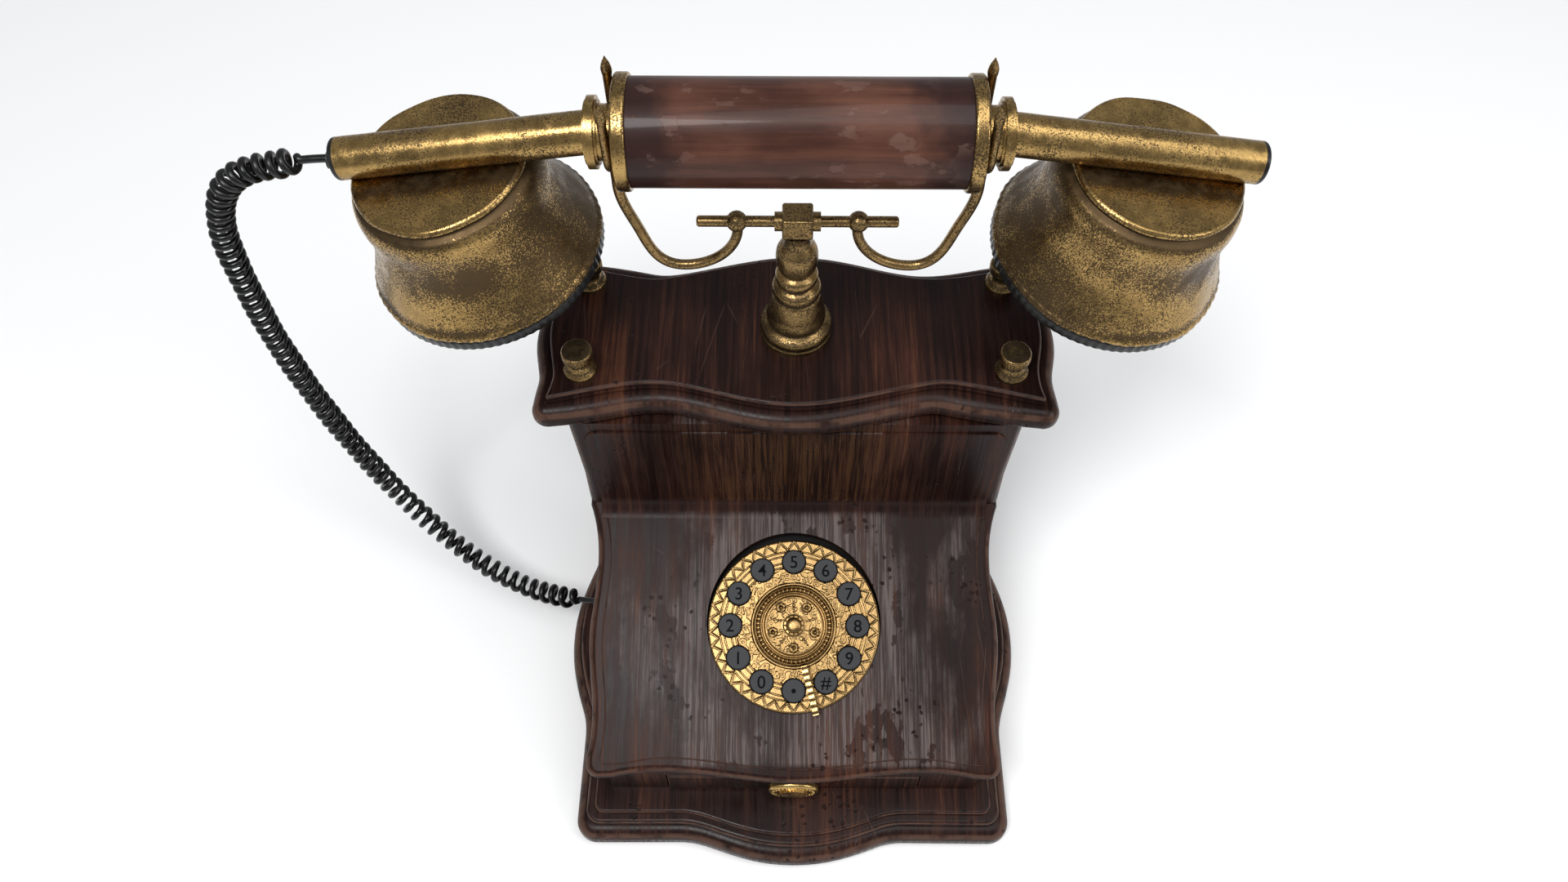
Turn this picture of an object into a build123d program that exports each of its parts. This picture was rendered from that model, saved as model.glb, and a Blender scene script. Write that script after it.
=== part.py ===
from build123d import *
import os
from math import cos, pi, radians, sin, tan

os.makedirs("parts", exist_ok=True)

# Free-standing wooden desk telephone with a push-button dial, millimetres.
# Origin: centre of the plinth on the floor. X to the right, Y to the back, Z up.

# --- driving dimensions -------------------------------------------------------

clearance = 0.4

# plinth
felt_thickness = 1.5
felt_inset = 6.0
plinth_half = 84.6
plinth_wave = [(44.0, -0.2), (29.4, 2.8), (13.0, 7.3), (0.0, 8.4)]
plinth_top = 18.6

# carcase
wall_thickness = 8.0
body_half_width = 70.2
front_wall_y = -67.0
back_wall_y = 76.0
lid_bottom = 136.0
lid_top = 148.8

# sloping dial panel and upright board behind it
slope = 20.1
panel_front_y = -71.6
panel_front_z = 44.6
crease_y = 25.1
board_thickness = 7.4
field_rise = 0.8
field_inset = 5.0
field_rounding = 0.6
riser_half_width = 79.0

# lid
lid_centre_y = 58.1
lid_half_x = 91.7
lid_half_y = 36.0
lid_wave_x = [(80.0, -1.4), (44.6, -6.5), (20.0, -0.6), (0.0, 2.2)]
lid_wave_y = [(28.0, -0.6), (16.5, -1.5), (7.0, 0.3), (0.0, 0.9)]

# dial
dial_y = -18.6
dial_radius = 32.5
dial_face = 1.2
button_count = 12
button_circle = 24.1
button_radius = 4.35
button_face = 2.9
button_names = ["5", "4", "3", "2", "1", "0", "point", "hash", "9", "8", "7", "6"]
hub_radius = 15.2
finger_stop_angle = 14.2

# drawer
drawer_half_width = 48.0
drawer_bottom = 20.6
drawer_top = 34.4
drawer_back_y = -6.0
drawer_wall = 3.0
knob_half_width = 9.7
knob_half_height = 7.0

# column and cradle, heights above the lid
plunger_radius = 3.0
running_clearance = 0.05
rod_height = 55.3
rod_radius = 1.8
rod_half_length = 31.9
block_width = 9.8
block_depth = 8.8
block_bottom = 51.1
block_height = 8.4
arm_radius = 1.7
arm_start_x = 19.2
fork_x = 54.8

# handset
handset_height = 92.6
grip_radius = 15.8
grip_half_length = 48.5
end_ring_radius = 16.9
end_ring_out = 52.7
neck_radius = 8.15
neck_out = 57.7
collar_radius = 10.5
collar_out = 61.4
disc_width = 2.4
droop = 8.3
tube_radius = 6.4
tube_bore = 4.6
tube_length = 75.0
cap_thickness = 1.6
cup_x = 107.5
cup_y = 58.6
cup_z = 229.2
cup_lean_in = 9.4
cup_lean_front = 3.5

# cord
lead_radius = 1.25
coil_radius = 4.5

# derived places
slope_sin = sin(radians(slope))
slope_cos = cos(radians(slope))
slope_tan = tan(radians(slope))
panel_plane = Plane(
    origin=(0, panel_front_y, panel_front_z),
    x_dir=(1, 0, 0),
    z_dir=(0, -slope_sin, slope_cos),
)
panel_axis = Axis(panel_plane.origin, panel_plane.z_dir)
crease_z = panel_front_z + (crease_y - panel_front_y) * slope_tan
panel_length = (crease_y - panel_front_y) / slope_cos
dial_z = panel_front_z + (dial_y - panel_front_y) * slope_tan
dial_plane = Plane(origin=(0, dial_y, dial_z), x_dir=(1, 0, 0), z_dir=(0, -slope_sin, slope_cos))
inner_half_width = body_half_width - wall_thickness
rod_z = lid_top + rod_height
handset_z = lid_top + handset_height
button_angles = [360 / button_count * n for n in range(button_count)]


def panel_underside(y):
    """Height of the sloping panel's lower face at a distance y from the origin."""
    return panel_front_z + (y - panel_front_y) * slope_tan - board_thickness / slope_cos


def quarter_turned(point, quarters):
    """A plan point turned a number of quarter turns about the origin."""
    x, y = point
    for _ in range(quarters):
        x, y = -y, x
    return (x, y)


def serpentine_board(half_x, half_y, wave_x, wave_y, inset, plane, corner_radius):
    """Sketch of a board with a wave along each side, drawn as offsets from its rectangle."""
    with BuildSketch(plane) as outline:
        with BuildLine():
            for quarters in range(4):
                along, edge, wave = (half_x, half_y, wave_x)
                if quarters % 2:
                    along, edge, wave = (half_y, half_x, wave_y)
                corner = (along - inset, edge - inset)
                right = [(at, edge - inset + out) for at, out in wave]
                left = [(-at, y) for at, y in reversed(right[:-1])]
                points = [quarter_turned(p, quarters) for p in right + left]
                lead_in = Vector(right[0][0] - corner[0], right[0][1] - corner[1])
                lead_out = Vector(lead_in.X, -lead_in.Y)
                first = quarter_turned(corner, quarters)
                last = quarter_turned((-corner[0], corner[1]), quarters)
                Line(first, points[0])
                Spline(
                    *points,
                    tangents=[
                        quarter_turned((lead_in.X, lead_in.Y), quarters),
                        quarter_turned((lead_out.X, lead_out.Y), quarters),
                    ],
                )
                Line(points[-1], last)
        make_face()
        corners = outline.vertices().sort_by(lambda v: -v.X * v.X * v.Y * v.Y)[:4]
        fillet(corners, corner_radius)
    return outline.sketch


def rounded_layer(outline, height, top_round, bottom_round):
    """One thickness of a moulded board, with its upper and lower edges rounded."""
    with BuildPart() as layer:
        extrude(outline, amount=height)
        if top_round:
            fillet(layer.edges().group_by(Axis.Z)[-1], top_round)
        if bottom_round:
            fillet(layer.edges().group_by(Axis.Z)[0], bottom_round)
    return layer.part


def axis_plane(origin, direction):
    """Plane whose local Y runs along a direction, for profiles that are revolved about it."""
    along = Vector(*direction).normalized()
    side = Vector(0, 1, 0).cross(along).normalized()
    return Plane(origin=origin, x_dir=side, z_dir=side.cross(along))


# --- plinth and felt ----------------------------------------------------------

# inset, bottom, top, upper round, lower round
plinth_layers = [
    (0.0, felt_thickness, 12.0, 5.0, 3.0),
    (5.7, 11.0, 13.2, 0.0, 0.0),
    (4.4, 13.2, 16.4, 1.5, 1.0),
    (7.8, 16.0, plinth_top, 1.2, 0.0),
]
plinth_parts = []
for inset, bottom, top, upper, lower in plinth_layers:
    plan = serpentine_board(
        plinth_half,
        plinth_half,
        plinth_wave,
        plinth_wave,
        inset,
        Plane.XY.offset(bottom),
        8.0 - inset / 2,
    )
    plinth_parts.append(rounded_layer(plan, top - bottom, upper, lower))

screw_head_radius = 3.2
screw_radius = 1.6
screw_x = 66.0
screw_y = 34.0
with BuildPart() as plinth:
    add(plinth_parts)
    with Locations(Plane.XY.offset(felt_thickness).rotated((180, 0, 0))):
        with GridLocations(2 * screw_x, 2 * screw_y, 2, 2):
            CounterBoreHole(screw_radius, screw_head_radius, 3.0)
plinth.part.label = "plinth"
export_step(plinth.part, "parts/plinth.step")

with BuildPart() as base_screws:
    with BuildSketch(Plane.XY.offset(felt_thickness + 1.0)):
        with GridLocations(2 * screw_x, 2 * screw_y, 2, 2):
            Circle(screw_head_radius - 0.1)
    extrude(amount=2.0)
    with BuildSketch(Plane.XY.offset(felt_thickness + 1.0)):
        with GridLocations(2 * screw_x, 2 * screw_y, 2, 2):
            Circle(screw_radius)
    extrude(amount=plinth_top - felt_thickness - 1.0)
base_screws.part.label = "base_screws"
export_step(base_screws.part, "parts/base_screws.step")

felt_plan = serpentine_board(
    plinth_half, plinth_half, plinth_wave, plinth_wave, felt_inset, Plane.XY, 3.0
)
with BuildPart() as base_felt:
    extrude(felt_plan, amount=felt_thickness)
    with BuildSketch():
        with GridLocations(2 * screw_x, 2 * screw_y, 2, 2):
            Circle(screw_head_radius + 0.6)
    extrude(amount=felt_thickness, mode=Mode.SUBTRACT)
base_felt.part.label = "base_felt"
export_step(base_felt.part, "parts/base_felt.step")

# --- carcase: sides, back, front frame ---------------------------------------

riser_back_y = crease_y + board_thickness
side_profile = [
    (front_wall_y, plinth_top),
    (front_wall_y, panel_underside(front_wall_y)),
    (riser_back_y, panel_underside(riser_back_y)),
    (riser_back_y, lid_bottom),
    (back_wall_y, lid_bottom),
    (back_wall_y, plinth_top),
]
grommet_y = 7.4
grommet_z = 27.6
grommet_radius = 3.0
for side_name, inner_x in (("side_left", -body_half_width), ("side_right", inner_half_width)):
    with BuildPart() as side_board:
        with BuildSketch(Plane.YZ.offset(inner_x)):
            with BuildLine():
                Polyline(*side_profile, close=True)
            make_face()
            if side_name == "side_left":
                with Locations((grommet_y, grommet_z)):
                    Circle(grommet_radius, mode=Mode.SUBTRACT)
        extrude(amount=wall_thickness)
    side_board.part.label = side_name
    export_step(side_board.part, f"parts/{side_name}.step")

jack_half_width = 8.0
jack_bottom = 30.0
jack_height = 14.0
with BuildPart() as back_board:
    with BuildSketch(Plane.XZ.offset(-back_wall_y)):
        with Locations((0, (plinth_top + lid_bottom) / 2)):
            Rectangle(2 * inner_half_width, lid_bottom - plinth_top)
        with Locations((0, jack_bottom + jack_height / 2)):
            Rectangle(2 * jack_half_width, jack_height, mode=Mode.SUBTRACT)
    extrude(amount=wall_thickness)
back_board.part.label = "back_board"
export_step(back_board.part, "parts/back_board.step")

front_back_y = front_wall_y + wall_thickness
front_profile = [
    (front_wall_y, plinth_top),
    (front_wall_y, panel_underside(front_wall_y)),
    (front_back_y, panel_underside(front_back_y)),
    (front_back_y, plinth_top),
]
with BuildPart() as front_frame:
    with BuildSketch(Plane.YZ.offset(-inner_half_width)):
        with BuildLine():
            Polyline(*front_profile, close=True)
        make_face()
    extrude(amount=2 * inner_half_width)
    with BuildSketch(Plane.XZ.offset(-front_back_y)):
        with Locations((0, (drawer_bottom + drawer_top) / 2)):
            Rectangle(
                2 * (drawer_half_width + clearance),
                drawer_top - drawer_bottom + 2 * clearance,
            )
    extrude(amount=wall_thickness, mode=Mode.SUBTRACT)
front_frame.part.label = "front_frame"
export_step(front_frame.part, "parts/front_frame.step")

# --- sloping panel and upright board -----------------------------------------

panel_half_width = 77.3
panel_overrun = 9.0
panel_front_wave = [(48.0, 2.4), (22.0, 0.2), (0.0, -1.6)]
panel_side_wave = [(8.0, -0.2), (26.0, -1.5), (49.0, 0.5), (77.0, -1.7), (panel_length, 1.7)]


def panel_outline(inset, end, height, corner_radius):
    """Plan of the sloping panel, waved along the front and both sides."""
    half = panel_half_width - inset
    front = [(x, inset + y) for x, y in panel_front_wave]
    front += [(-x, y) for x, y in reversed(front[:-1])]
    side = [(half + out, at) for at, out in panel_side_wave]
    side[0] = (half, max(side[0][1], inset + 3.0))
    with BuildSketch(panel_plane.offset(height)) as outline:
        with BuildLine():
            Line((half, inset), side[0])
            Spline(*side)
            Line(side[-1], (side[-1][0], end))
            Line((side[-1][0], end), (-side[-1][0], end))
            Line((-side[-1][0], end), (-side[-1][0], side[-1][1]))
            Spline(*[(-x, y) for x, y in reversed(side)])
            Line((-half, inset), (-side[0][0], side[0][1]))
            Line((half, inset), (half - 10, inset + 0.4))
            Spline((half - 10, inset + 0.4), *front, (-half + 10, inset + 0.4))
            Line((-half, inset), (-half + 10, inset + 0.4))
        make_face()
        corners = outline.vertices().group_by(Axis.Y)[0]
        fillet(corners, corner_radius)
    return outline.sketch


dial_from_front = (dial_y - panel_front_y) / slope_cos
hole_half_width = 33.0
hole_half_height = 34.1
hole_shift = 1.4
slab_outline = panel_outline(0.0, panel_length + panel_overrun, -board_thickness, 5.0)
field_outline = panel_outline(field_inset, panel_length + panel_overrun, -field_rise, 2.5)
with BuildPart() as dial_panel:
    extrude(slab_outline, amount=board_thickness - field_rise)
    upper = dial_panel.faces().filter_by(panel_plane).sort_by(Axis.Z)[-1]
    lower = dial_panel.faces().filter_by(panel_plane).sort_by(Axis.Z)[0]
    fillet(upper.edges().sort_by(Axis.Y)[:-1], 2.8)
    fillet(lower.edges().sort_by(Axis.Y)[:-1], 2.2)
    extrude(field_outline, amount=field_rise)
    field = dial_panel.faces().filter_by(panel_plane).sort_by(panel_axis)[-1]
    fillet(field.edges().sort_by(Axis.Y)[:-1], field_rounding)
    with BuildSketch(panel_plane.offset(-board_thickness)):
        with Locations((0, dial_from_front + hole_shift)):
            Ellipse(hole_half_width, hole_half_height)
    extrude(amount=2 * board_thickness, mode=Mode.SUBTRACT)
    split(bisect_by=Plane.XZ.offset(-riser_back_y), keep=Keep.TOP)
dial_panel.part.label = "dial_panel"
export_step(dial_panel.part, "parts/dial_panel.step")

riser_top_half_width = 80.0
riser_field_top = 131.0
riser_field_half = 74.0
cove_size = 5.5
with BuildPart() as riser_board:
    with BuildSketch(Plane.XZ.offset(-riser_back_y)):
        with BuildLine():
            Polyline(
                (-riser_half_width, crease_z - 2),
                (riser_half_width, crease_z - 2),
                (riser_half_width - 0.4, crease_z + 20),
                (riser_top_half_width, lid_bottom),
                (-riser_top_half_width, lid_bottom),
                (-riser_half_width + 0.4, crease_z + 20),
                close=True,
            )
        make_face()
    extrude(amount=board_thickness - field_rise)
    front_face = riser_board.faces().sort_by(Axis.Y)[0]
    fillet(front_face.edges().filter_by(lambda e: abs(e.center().X) > 70), 2.8)
    with BuildSketch(Plane.XZ.offset(-(crease_y + field_rise))):
        with BuildLine():
            Polyline(
                (-riser_field_half, crease_z - 2),
                (riser_field_half, crease_z - 2),
                (riser_field_half + 1, riser_field_top),
                (-riser_field_half - 1, riser_field_top),
                close=True,
            )
        field = make_face()
        fillet(field.vertices().group_by(Axis.Y)[-1], 6.0)
    extrude(amount=field_rise)
    with BuildSketch(Plane.YZ.offset(-riser_field_half)):
        with BuildLine():
            rise_foot = (crease_y, crease_z + cove_size)
            slope_foot = (crease_y - cove_size * slope_cos, crease_z - cove_size * slope_sin)
            TangentArc(rise_foot, slope_foot, tangent=(0, -1))
            Polyline(
                slope_foot,
                (slope_foot[0], slope_foot[1] - 2),
                (crease_y + 0.5, crease_z - 2),
                (crease_y + 0.5, crease_z + cove_size),
                rise_foot,
            )
        make_face()
    extrude(amount=2 * riser_field_half)
    split(bisect_by=panel_plane, keep=Keep.TOP)
riser_board.part.label = "riser_board"
export_step(riser_board.part, "parts/riser_board.step")

# --- lid and its four brass finials ------------------------------------------

lid_layers = [
    (0.0, lid_bottom, 145.2, 4.6, 3.6),
    (5.2, 144.0, 146.6, 0.0, 0.0),
    (5.8, 146.4, lid_top, 1.2, 0.0),
]
lid_parts = []
for inset, bottom, top, upper_round, lower_round in lid_layers:
    plan = serpentine_board(
        lid_half_x,
        lid_half_y,
        lid_wave_x,
        lid_wave_y,
        inset,
        Plane((0, lid_centre_y, bottom)),
        max(5.5 - inset, 1.0),
    )
    lid_parts.append(rounded_layer(plan, top - bottom, upper_round, lower_round))

stub_radius = 5.0
with BuildPart() as lid:
    add(lid_parts)
    with BuildSketch(Plane.XY.offset(lid_bottom)):
        with Locations((0, lid_centre_y)):
            Circle(stub_radius)
    extrude(amount=lid_top, mode=Mode.SUBTRACT)
lid.part.label = "lid"
export_step(lid.part, "parts/lid.step")

finial_x = 74.4
finial_spacing_y = 39.0
finial_centre_y = lid_centre_y + 1.3
finial_profile = [
    (0, 0),
    (5.9, 0),
    (5.9, 1.2),
    (5.0, 2.6),
    (3.9, 4.4),
    (3.7, 5.6),
    (4.4, 7.0),
    (5.3, 7.8),
    (5.4, 10.4),
    (4.9, 11.3),
    (0, 11.3),
]
with BuildPart() as corner_finials:
    for x in (-finial_x, finial_x):
        for y in (-finial_spacing_y / 2, finial_spacing_y / 2):
            foot = (x, finial_centre_y + y, lid_top)
            with BuildSketch(axis_plane(foot, (0, 0, 1))):
                with BuildLine():
                    Polyline(*finial_profile, close=True)
                make_face()
            revolve(axis=Axis(foot, (0, 0, 1)))
corner_finials.part.label = "corner_finials"
export_step(corner_finials.part, "parts/corner_finials.step")

# --- column, head block, cross rod -------------------------------------------

column_profile = [
    (plunger_radius + running_clearance, 0),
    (12.7, 0),
    (12.7, 1.4),
    (12.2, 2.6),
    (12.6, 4.0),
    (12.0, 5.6),
    (10.4, 6.8),
    (9.6, 7.6),
    (10.2, 8.6),
    (10.1, 10.4),
    (9.0, 15.0),
    (8.1, 19.5),
    (7.3, 20.6),
    (8.2, 21.6),
    (8.2, 24.2),
    (7.2, 25.4),
    (5.9, 26.4),
    (6.6, 27.6),
    (7.2, 29.2),
    (6.8, 31.0),
    (5.2, 32.4),
]
column_neck = [(5.0, 45.4), (4.4, 48.0), (4.6, 50.6), (plunger_radius + running_clearance, 50.6)]
ball_top = (5.0, 45.4)
ball_middle = (7.0, 39.0)
stub_bottom = 128.0
with BuildPart() as column:
    column_foot = (0, lid_centre_y, lid_top)
    with BuildSketch(axis_plane(column_foot, (0, 0, 1))):
        with BuildLine():
            Polyline(*column_profile)
            ThreePointArc(column_profile[-1], ball_middle, ball_top)
            Polyline(*column_neck, column_profile[0])
        make_face()
    revolve(axis=Axis(column_foot, (0, 0, 1)))
    with BuildSketch(Plane((0, lid_centre_y, stub_bottom))):
        Circle(stub_radius)
        Circle(plunger_radius + running_clearance, mode=Mode.SUBTRACT)
    extrude(amount=lid_top - stub_bottom)
column.part.label = "column"
export_step(column.part, "parts/column.step")

block_z = lid_top + block_bottom
plunger_bottom = 112.0
spring_seat_z = 115.0
with BuildPart() as head_block:
    with BuildSketch(Plane((0, lid_centre_y, block_z))):
        Rectangle(block_width, block_depth)
    extrude(amount=block_height)
    fillet(head_block.edges(), 0.9)
    with BuildSketch(Plane.YZ.offset(-block_width)):
        with Locations((lid_centre_y, rod_z)):
            Circle(rod_radius)
    extrude(amount=2 * block_width, mode=Mode.SUBTRACT)
    with BuildSketch(Plane((0, lid_centre_y, plunger_bottom))):
        Circle(plunger_radius)
    extrude(amount=block_z - plunger_bottom)
    with BuildSketch(Plane((0, lid_centre_y, spring_seat_z))):
        Circle(6.5)
    extrude(amount=2.0)
head_block.part.label = "head_block"
export_step(head_block.part, "parts/head_block.step")

with BuildPart() as cross_rod:
    with BuildSketch(Plane.YZ.offset(-rod_half_length)):
        with Locations((lid_centre_y, rod_z)):
            Circle(rod_radius)
    extrude(amount=2 * rod_half_length)
    fillet(cross_rod.edges().filter_by(GeomType.CIRCLE), 0.9)
cross_rod.part.label = "cross_rod"
export_step(cross_rod.part, "parts/cross_rod.step")

rod_nut_inner = block_width / 2
rod_nut_width = 2.4
with BuildPart() as rod_nuts:
    for start in (-rod_nut_inner - rod_nut_width, rod_nut_inner):
        with BuildSketch(Plane.YZ.offset(start)):
            with Locations((lid_centre_y, rod_z)):
                Circle(3.1)
                Circle(rod_radius, mode=Mode.SUBTRACT)
        extrude(amount=rod_nut_width)
rod_nuts.part.label = "rod_nuts"
export_step(rod_nuts.part, "parts/rod_nuts.step")

# --- cradle arms --------------------------------------------------------------

fork_gap_radius = neck_radius + clearance
fork_radius = 1.35
prong_y = fork_gap_radius + fork_radius
prong_top = lid_top + 107.0
prong_point = lid_top + 111.6
arm_end_z = handset_z - prong_y
arm_straight_from = 73.0
arm_plane = Plane(origin=(0, lid_centre_y, lid_top), x_dir=(1, 0, 0), z_dir=(0, -1, 0))
with BuildPart() as arm_left:
    with BuildLine(arm_plane) as arm_path:
        drop = ThreePointArc((-arm_start_x, rod_height), (-23.4, 40.6), (-35.3, 34.4))
        rise = Spline(
            drop @ 1,
            (-50.2, 51.5),
            (-fork_x, arm_straight_from),
            tangents=[drop % 1, (0, 1)],
        )
        Line(rise @ 1, (-fork_x, arm_end_z - lid_top))
    with BuildSketch(Plane(origin=arm_path.line @ 0, z_dir=arm_path.line % 0)):
        Circle(arm_radius)
    sweep()
    with Locations((-arm_start_x, lid_centre_y, rod_z)):
        Sphere(3.4)
    with BuildLine(Plane.YZ.offset(-fork_x)) as fork_path:
        prong = Line((lid_centre_y - prong_y, prong_top), (lid_centre_y - prong_y, handset_z))
        saddle = TangentArc(prong @ 1, (lid_centre_y + prong_y, handset_z), tangent=prong % 1)
        Line(saddle @ 1, (lid_centre_y + prong_y, prong_top))
    with BuildSketch(Plane(origin=fork_path.line @ 0, z_dir=fork_path.line % 0)):
        Circle(fork_radius)
    sweep(path=fork_path.line)
    for y in (-prong_y, prong_y):
        with BuildSketch(Plane((-fork_x, lid_centre_y + y, prong_top))):
            Circle(fork_radius)
        with BuildSketch(Plane((-fork_x, lid_centre_y + y, prong_point))):
            Circle(0.25)
        loft()
    with BuildSketch(Plane.YZ.offset(-arm_start_x - 5)):
        with Locations((lid_centre_y, rod_z)):
            Circle(rod_radius)
    extrude(amount=10, mode=Mode.SUBTRACT)
arm_left.part.label = "arm_left"
export_step(arm_left.part, "parts/arm_left.step")

with BuildPart() as arm_right:
    mirror(arm_left.part, about=Plane.YZ)
arm_right.part.label = "arm_right"
export_step(arm_right.part, "parts/arm_right.step")

# --- hook spring, its bracket and the hook switch -----------------------------

bracket_z = 94.0
bracket_thickness = 2.0
bracket_leg_x = 20.0
spring_radius = 4.6
spring_wire = 0.7
spring_pitch = 3.2
with BuildPart() as hook_bracket:
    with BuildSketch(Plane((0, lid_centre_y, bracket_z))):
        Rectangle(2 * bracket_leg_x, 14)
    extrude(amount=bracket_thickness)
    for x in (-bracket_leg_x + 1, bracket_leg_x - 1):
        with BuildSketch(Plane((x, lid_centre_y, bracket_z))):
            Rectangle(2, 14)
        extrude(amount=lid_bottom - bracket_z)
    for x in (-bracket_leg_x - 5, bracket_leg_x + 5):
        with BuildSketch(Plane((x, lid_centre_y, lid_bottom - bracket_thickness))):
            Rectangle(10, 14)
        extrude(amount=bracket_thickness)
hook_bracket.part.label = "hook_bracket"
export_step(hook_bracket.part, "parts/hook_bracket.step")

spring_bottom = bracket_z + bracket_thickness + spring_wire + 0.05
spring_height = spring_seat_z - spring_bottom - spring_wire - 0.1
with BuildPart() as hook_spring:
    with BuildLine(Plane((0, lid_centre_y, spring_bottom))) as spring_path:
        Helix(spring_pitch, spring_height, spring_radius)
    with BuildSketch(Plane(origin=spring_path.line @ 0, z_dir=spring_path.line % 0)):
        Circle(spring_wire)
    sweep()
hook_spring.part.label = "hook_spring"
export_step(hook_spring.part, "parts/hook_spring.step")

with BuildPart() as hook_switch:
    with BuildSketch(Plane((12.5, lid_centre_y, bracket_z + bracket_thickness))):
        Rectangle(7, 12)
    extrude(amount=25.8)
    with BuildSketch(Plane((10.5, lid_centre_y, bracket_z + bracket_thickness + 25.8))):
        Rectangle(12, 5)
    extrude(amount=0.8)
hook_switch.part.label = "hook_switch"
export_step(hook_switch.part, "parts/hook_switch.step")

# --- dial ---------------------------------------------------------------------

plate_bottom = -1.5
button_hole = button_radius + clearance
body_radius = 31.0
well_floor = -6.4
flange_radius = 42.0
flange_thickness = 2.0
with BuildPart() as dial_plate:
    with BuildSketch(dial_plane.offset(plate_bottom)):
        Circle(dial_radius)
        with PolarLocations(button_circle, button_count):
            Circle(button_hole, mode=Mode.SUBTRACT)
    extrude(amount=dial_face - plate_bottom)
    fillet(dial_plate.edges().filter_by(GeomType.CIRCLE).sort_by(SortBy.RADIUS)[-2:], 0.5)
dial_plate.part.label = "dial_plate"
export_step(dial_plate.part, "parts/dial_plate.step")

with BuildPart() as dial_body:
    with BuildSketch(dial_plane.offset(-board_thickness)):
        Circle(body_radius)
    extrude(amount=board_thickness + plate_bottom)
    with BuildSketch(dial_plane.offset(well_floor)):
        with PolarLocations(button_circle, button_count):
            Circle(button_hole)
    extrude(amount=plate_bottom - well_floor, mode=Mode.SUBTRACT)
    with BuildSketch(dial_plane.offset(-board_thickness - flange_thickness)):
        Circle(flange_radius)
    extrude(amount=flange_thickness)
dial_body.part.label = "dial_body"
export_step(dial_body.part, "parts/dial_body.step")

button_bottom = -3.4
for button_name, angle in zip(button_names, button_angles):
    centre = (button_circle * cos(radians(90 + angle)), button_circle * sin(radians(90 + angle)))
    with BuildPart() as button:
        with BuildSketch(dial_plane.offset(button_bottom)):
            with Locations(centre):
                Circle(button_radius)
        extrude(amount=button_face - button_bottom)
        fillet(button.edges().group_by(Axis(dial_plane.origin, dial_plane.z_dir))[-1], 0.5)
    button.part.label = f"button_{button_name}"
    export_step(button.part, f"parts/button_{button_name}.step")

hub_profile = [
    (0, dial_face),
    (hub_radius, dial_face),
    (hub_radius, dial_face + 0.9),
    (hub_radius - 0.8, dial_face + 1.9),
    (hub_radius - 2.4, dial_face + 1.9),
    (hub_radius - 3.2, dial_face + 1.0),
    (hub_radius - 4.2, dial_face + 1.0),
    (hub_radius - 5.0, dial_face + 1.7),
    (3.4, dial_face + 1.7),
    (2.6, dial_face + 2.5),
    (0, dial_face + 2.9),
]
with BuildPart() as dial_hub:
    with BuildSketch(axis_plane(dial_plane.origin, dial_plane.z_dir)):
        with BuildLine():
            Polyline(*hub_profile, close=True)
        make_face()
    revolve(axis=Axis(dial_plane.origin, dial_plane.z_dir))
dial_hub.part.label = "dial_hub"
export_step(dial_hub.part, "parts/dial_hub.step")

stop_width = 2.3
stop_inner = 15.5
stop_outer = 34.0
stop_rise = 2.6
stop_turn = radians(finger_stop_angle)
stop_plane = Plane(
    origin=dial_plane.origin,
    x_dir=dial_plane.x_dir * cos(stop_turn) + dial_plane.y_dir * sin(stop_turn),
    z_dir=dial_plane.z_dir,
)
stop_ribs = 7
with BuildPart() as finger_stop:
    with BuildSketch(stop_plane.offset(dial_face)):
        with Locations((0, -(stop_inner + dial_radius - 0.6) / 2)):
            Rectangle(stop_width, dial_radius - 0.6 - stop_inner)
    extrude(amount=stop_rise - 0.6)
    with BuildSketch(stop_plane.offset(dial_face + stop_rise - 0.6)):
        with Locations((0, -(stop_inner + stop_outer) / 2)):
            Rectangle(stop_width, stop_outer - stop_inner)
    extrude(amount=0.6)
    with BuildSketch(stop_plane.offset(dial_face + stop_rise)):
        for rib in range(stop_ribs):
            with Locations((0, -(stop_inner + 2.0 + rib * 2.4))):
                Rectangle(stop_width, 1.2)
    extrude(amount=0.5)
    fillet(finger_stop.edges().group_by(Axis(stop_plane.origin, stop_plane.z_dir))[-1], 0.2)
finger_stop.part.label = "finger_stop"
export_step(finger_stop.part, "parts/finger_stop.step")

# --- drawer -------------------------------------------------------------------

front_face_y = front_wall_y - 0.6
drawer_front_back = front_wall_y + 6.0
with BuildPart() as drawer_front:
    with BuildSketch(Plane.XZ.offset(-drawer_front_back)):
        with Locations((0, (drawer_bottom + drawer_top) / 2)):
            Rectangle(2 * drawer_half_width, drawer_top - drawer_bottom)
    extrude(amount=drawer_front_back - front_face_y)
    fillet(drawer_front.faces().sort_by(Axis.Y)[0].edges(), 1.0)
drawer_front.part.label = "drawer_front"
export_step(drawer_front.part, "parts/drawer_front.step")

tray_half = drawer_half_width - 1.5
tray_top = drawer_top - 1.0
tray_centre_y = (drawer_front_back + drawer_back_y) / 2
tray_length = drawer_back_y - drawer_front_back
with BuildPart() as drawer_tray:
    with BuildSketch(Plane((0, tray_centre_y, drawer_bottom))):
        Rectangle(2 * tray_half, tray_length)
    extrude(amount=tray_top - drawer_bottom)
    with BuildSketch(Plane((0, tray_centre_y, drawer_bottom + 2.0))):
        Rectangle(2 * (tray_half - drawer_wall), tray_length - 2 * drawer_wall)
    extrude(amount=tray_top, mode=Mode.SUBTRACT)
drawer_tray.part.label = "drawer_tray"
export_step(drawer_tray.part, "parts/drawer_tray.step")

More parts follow.
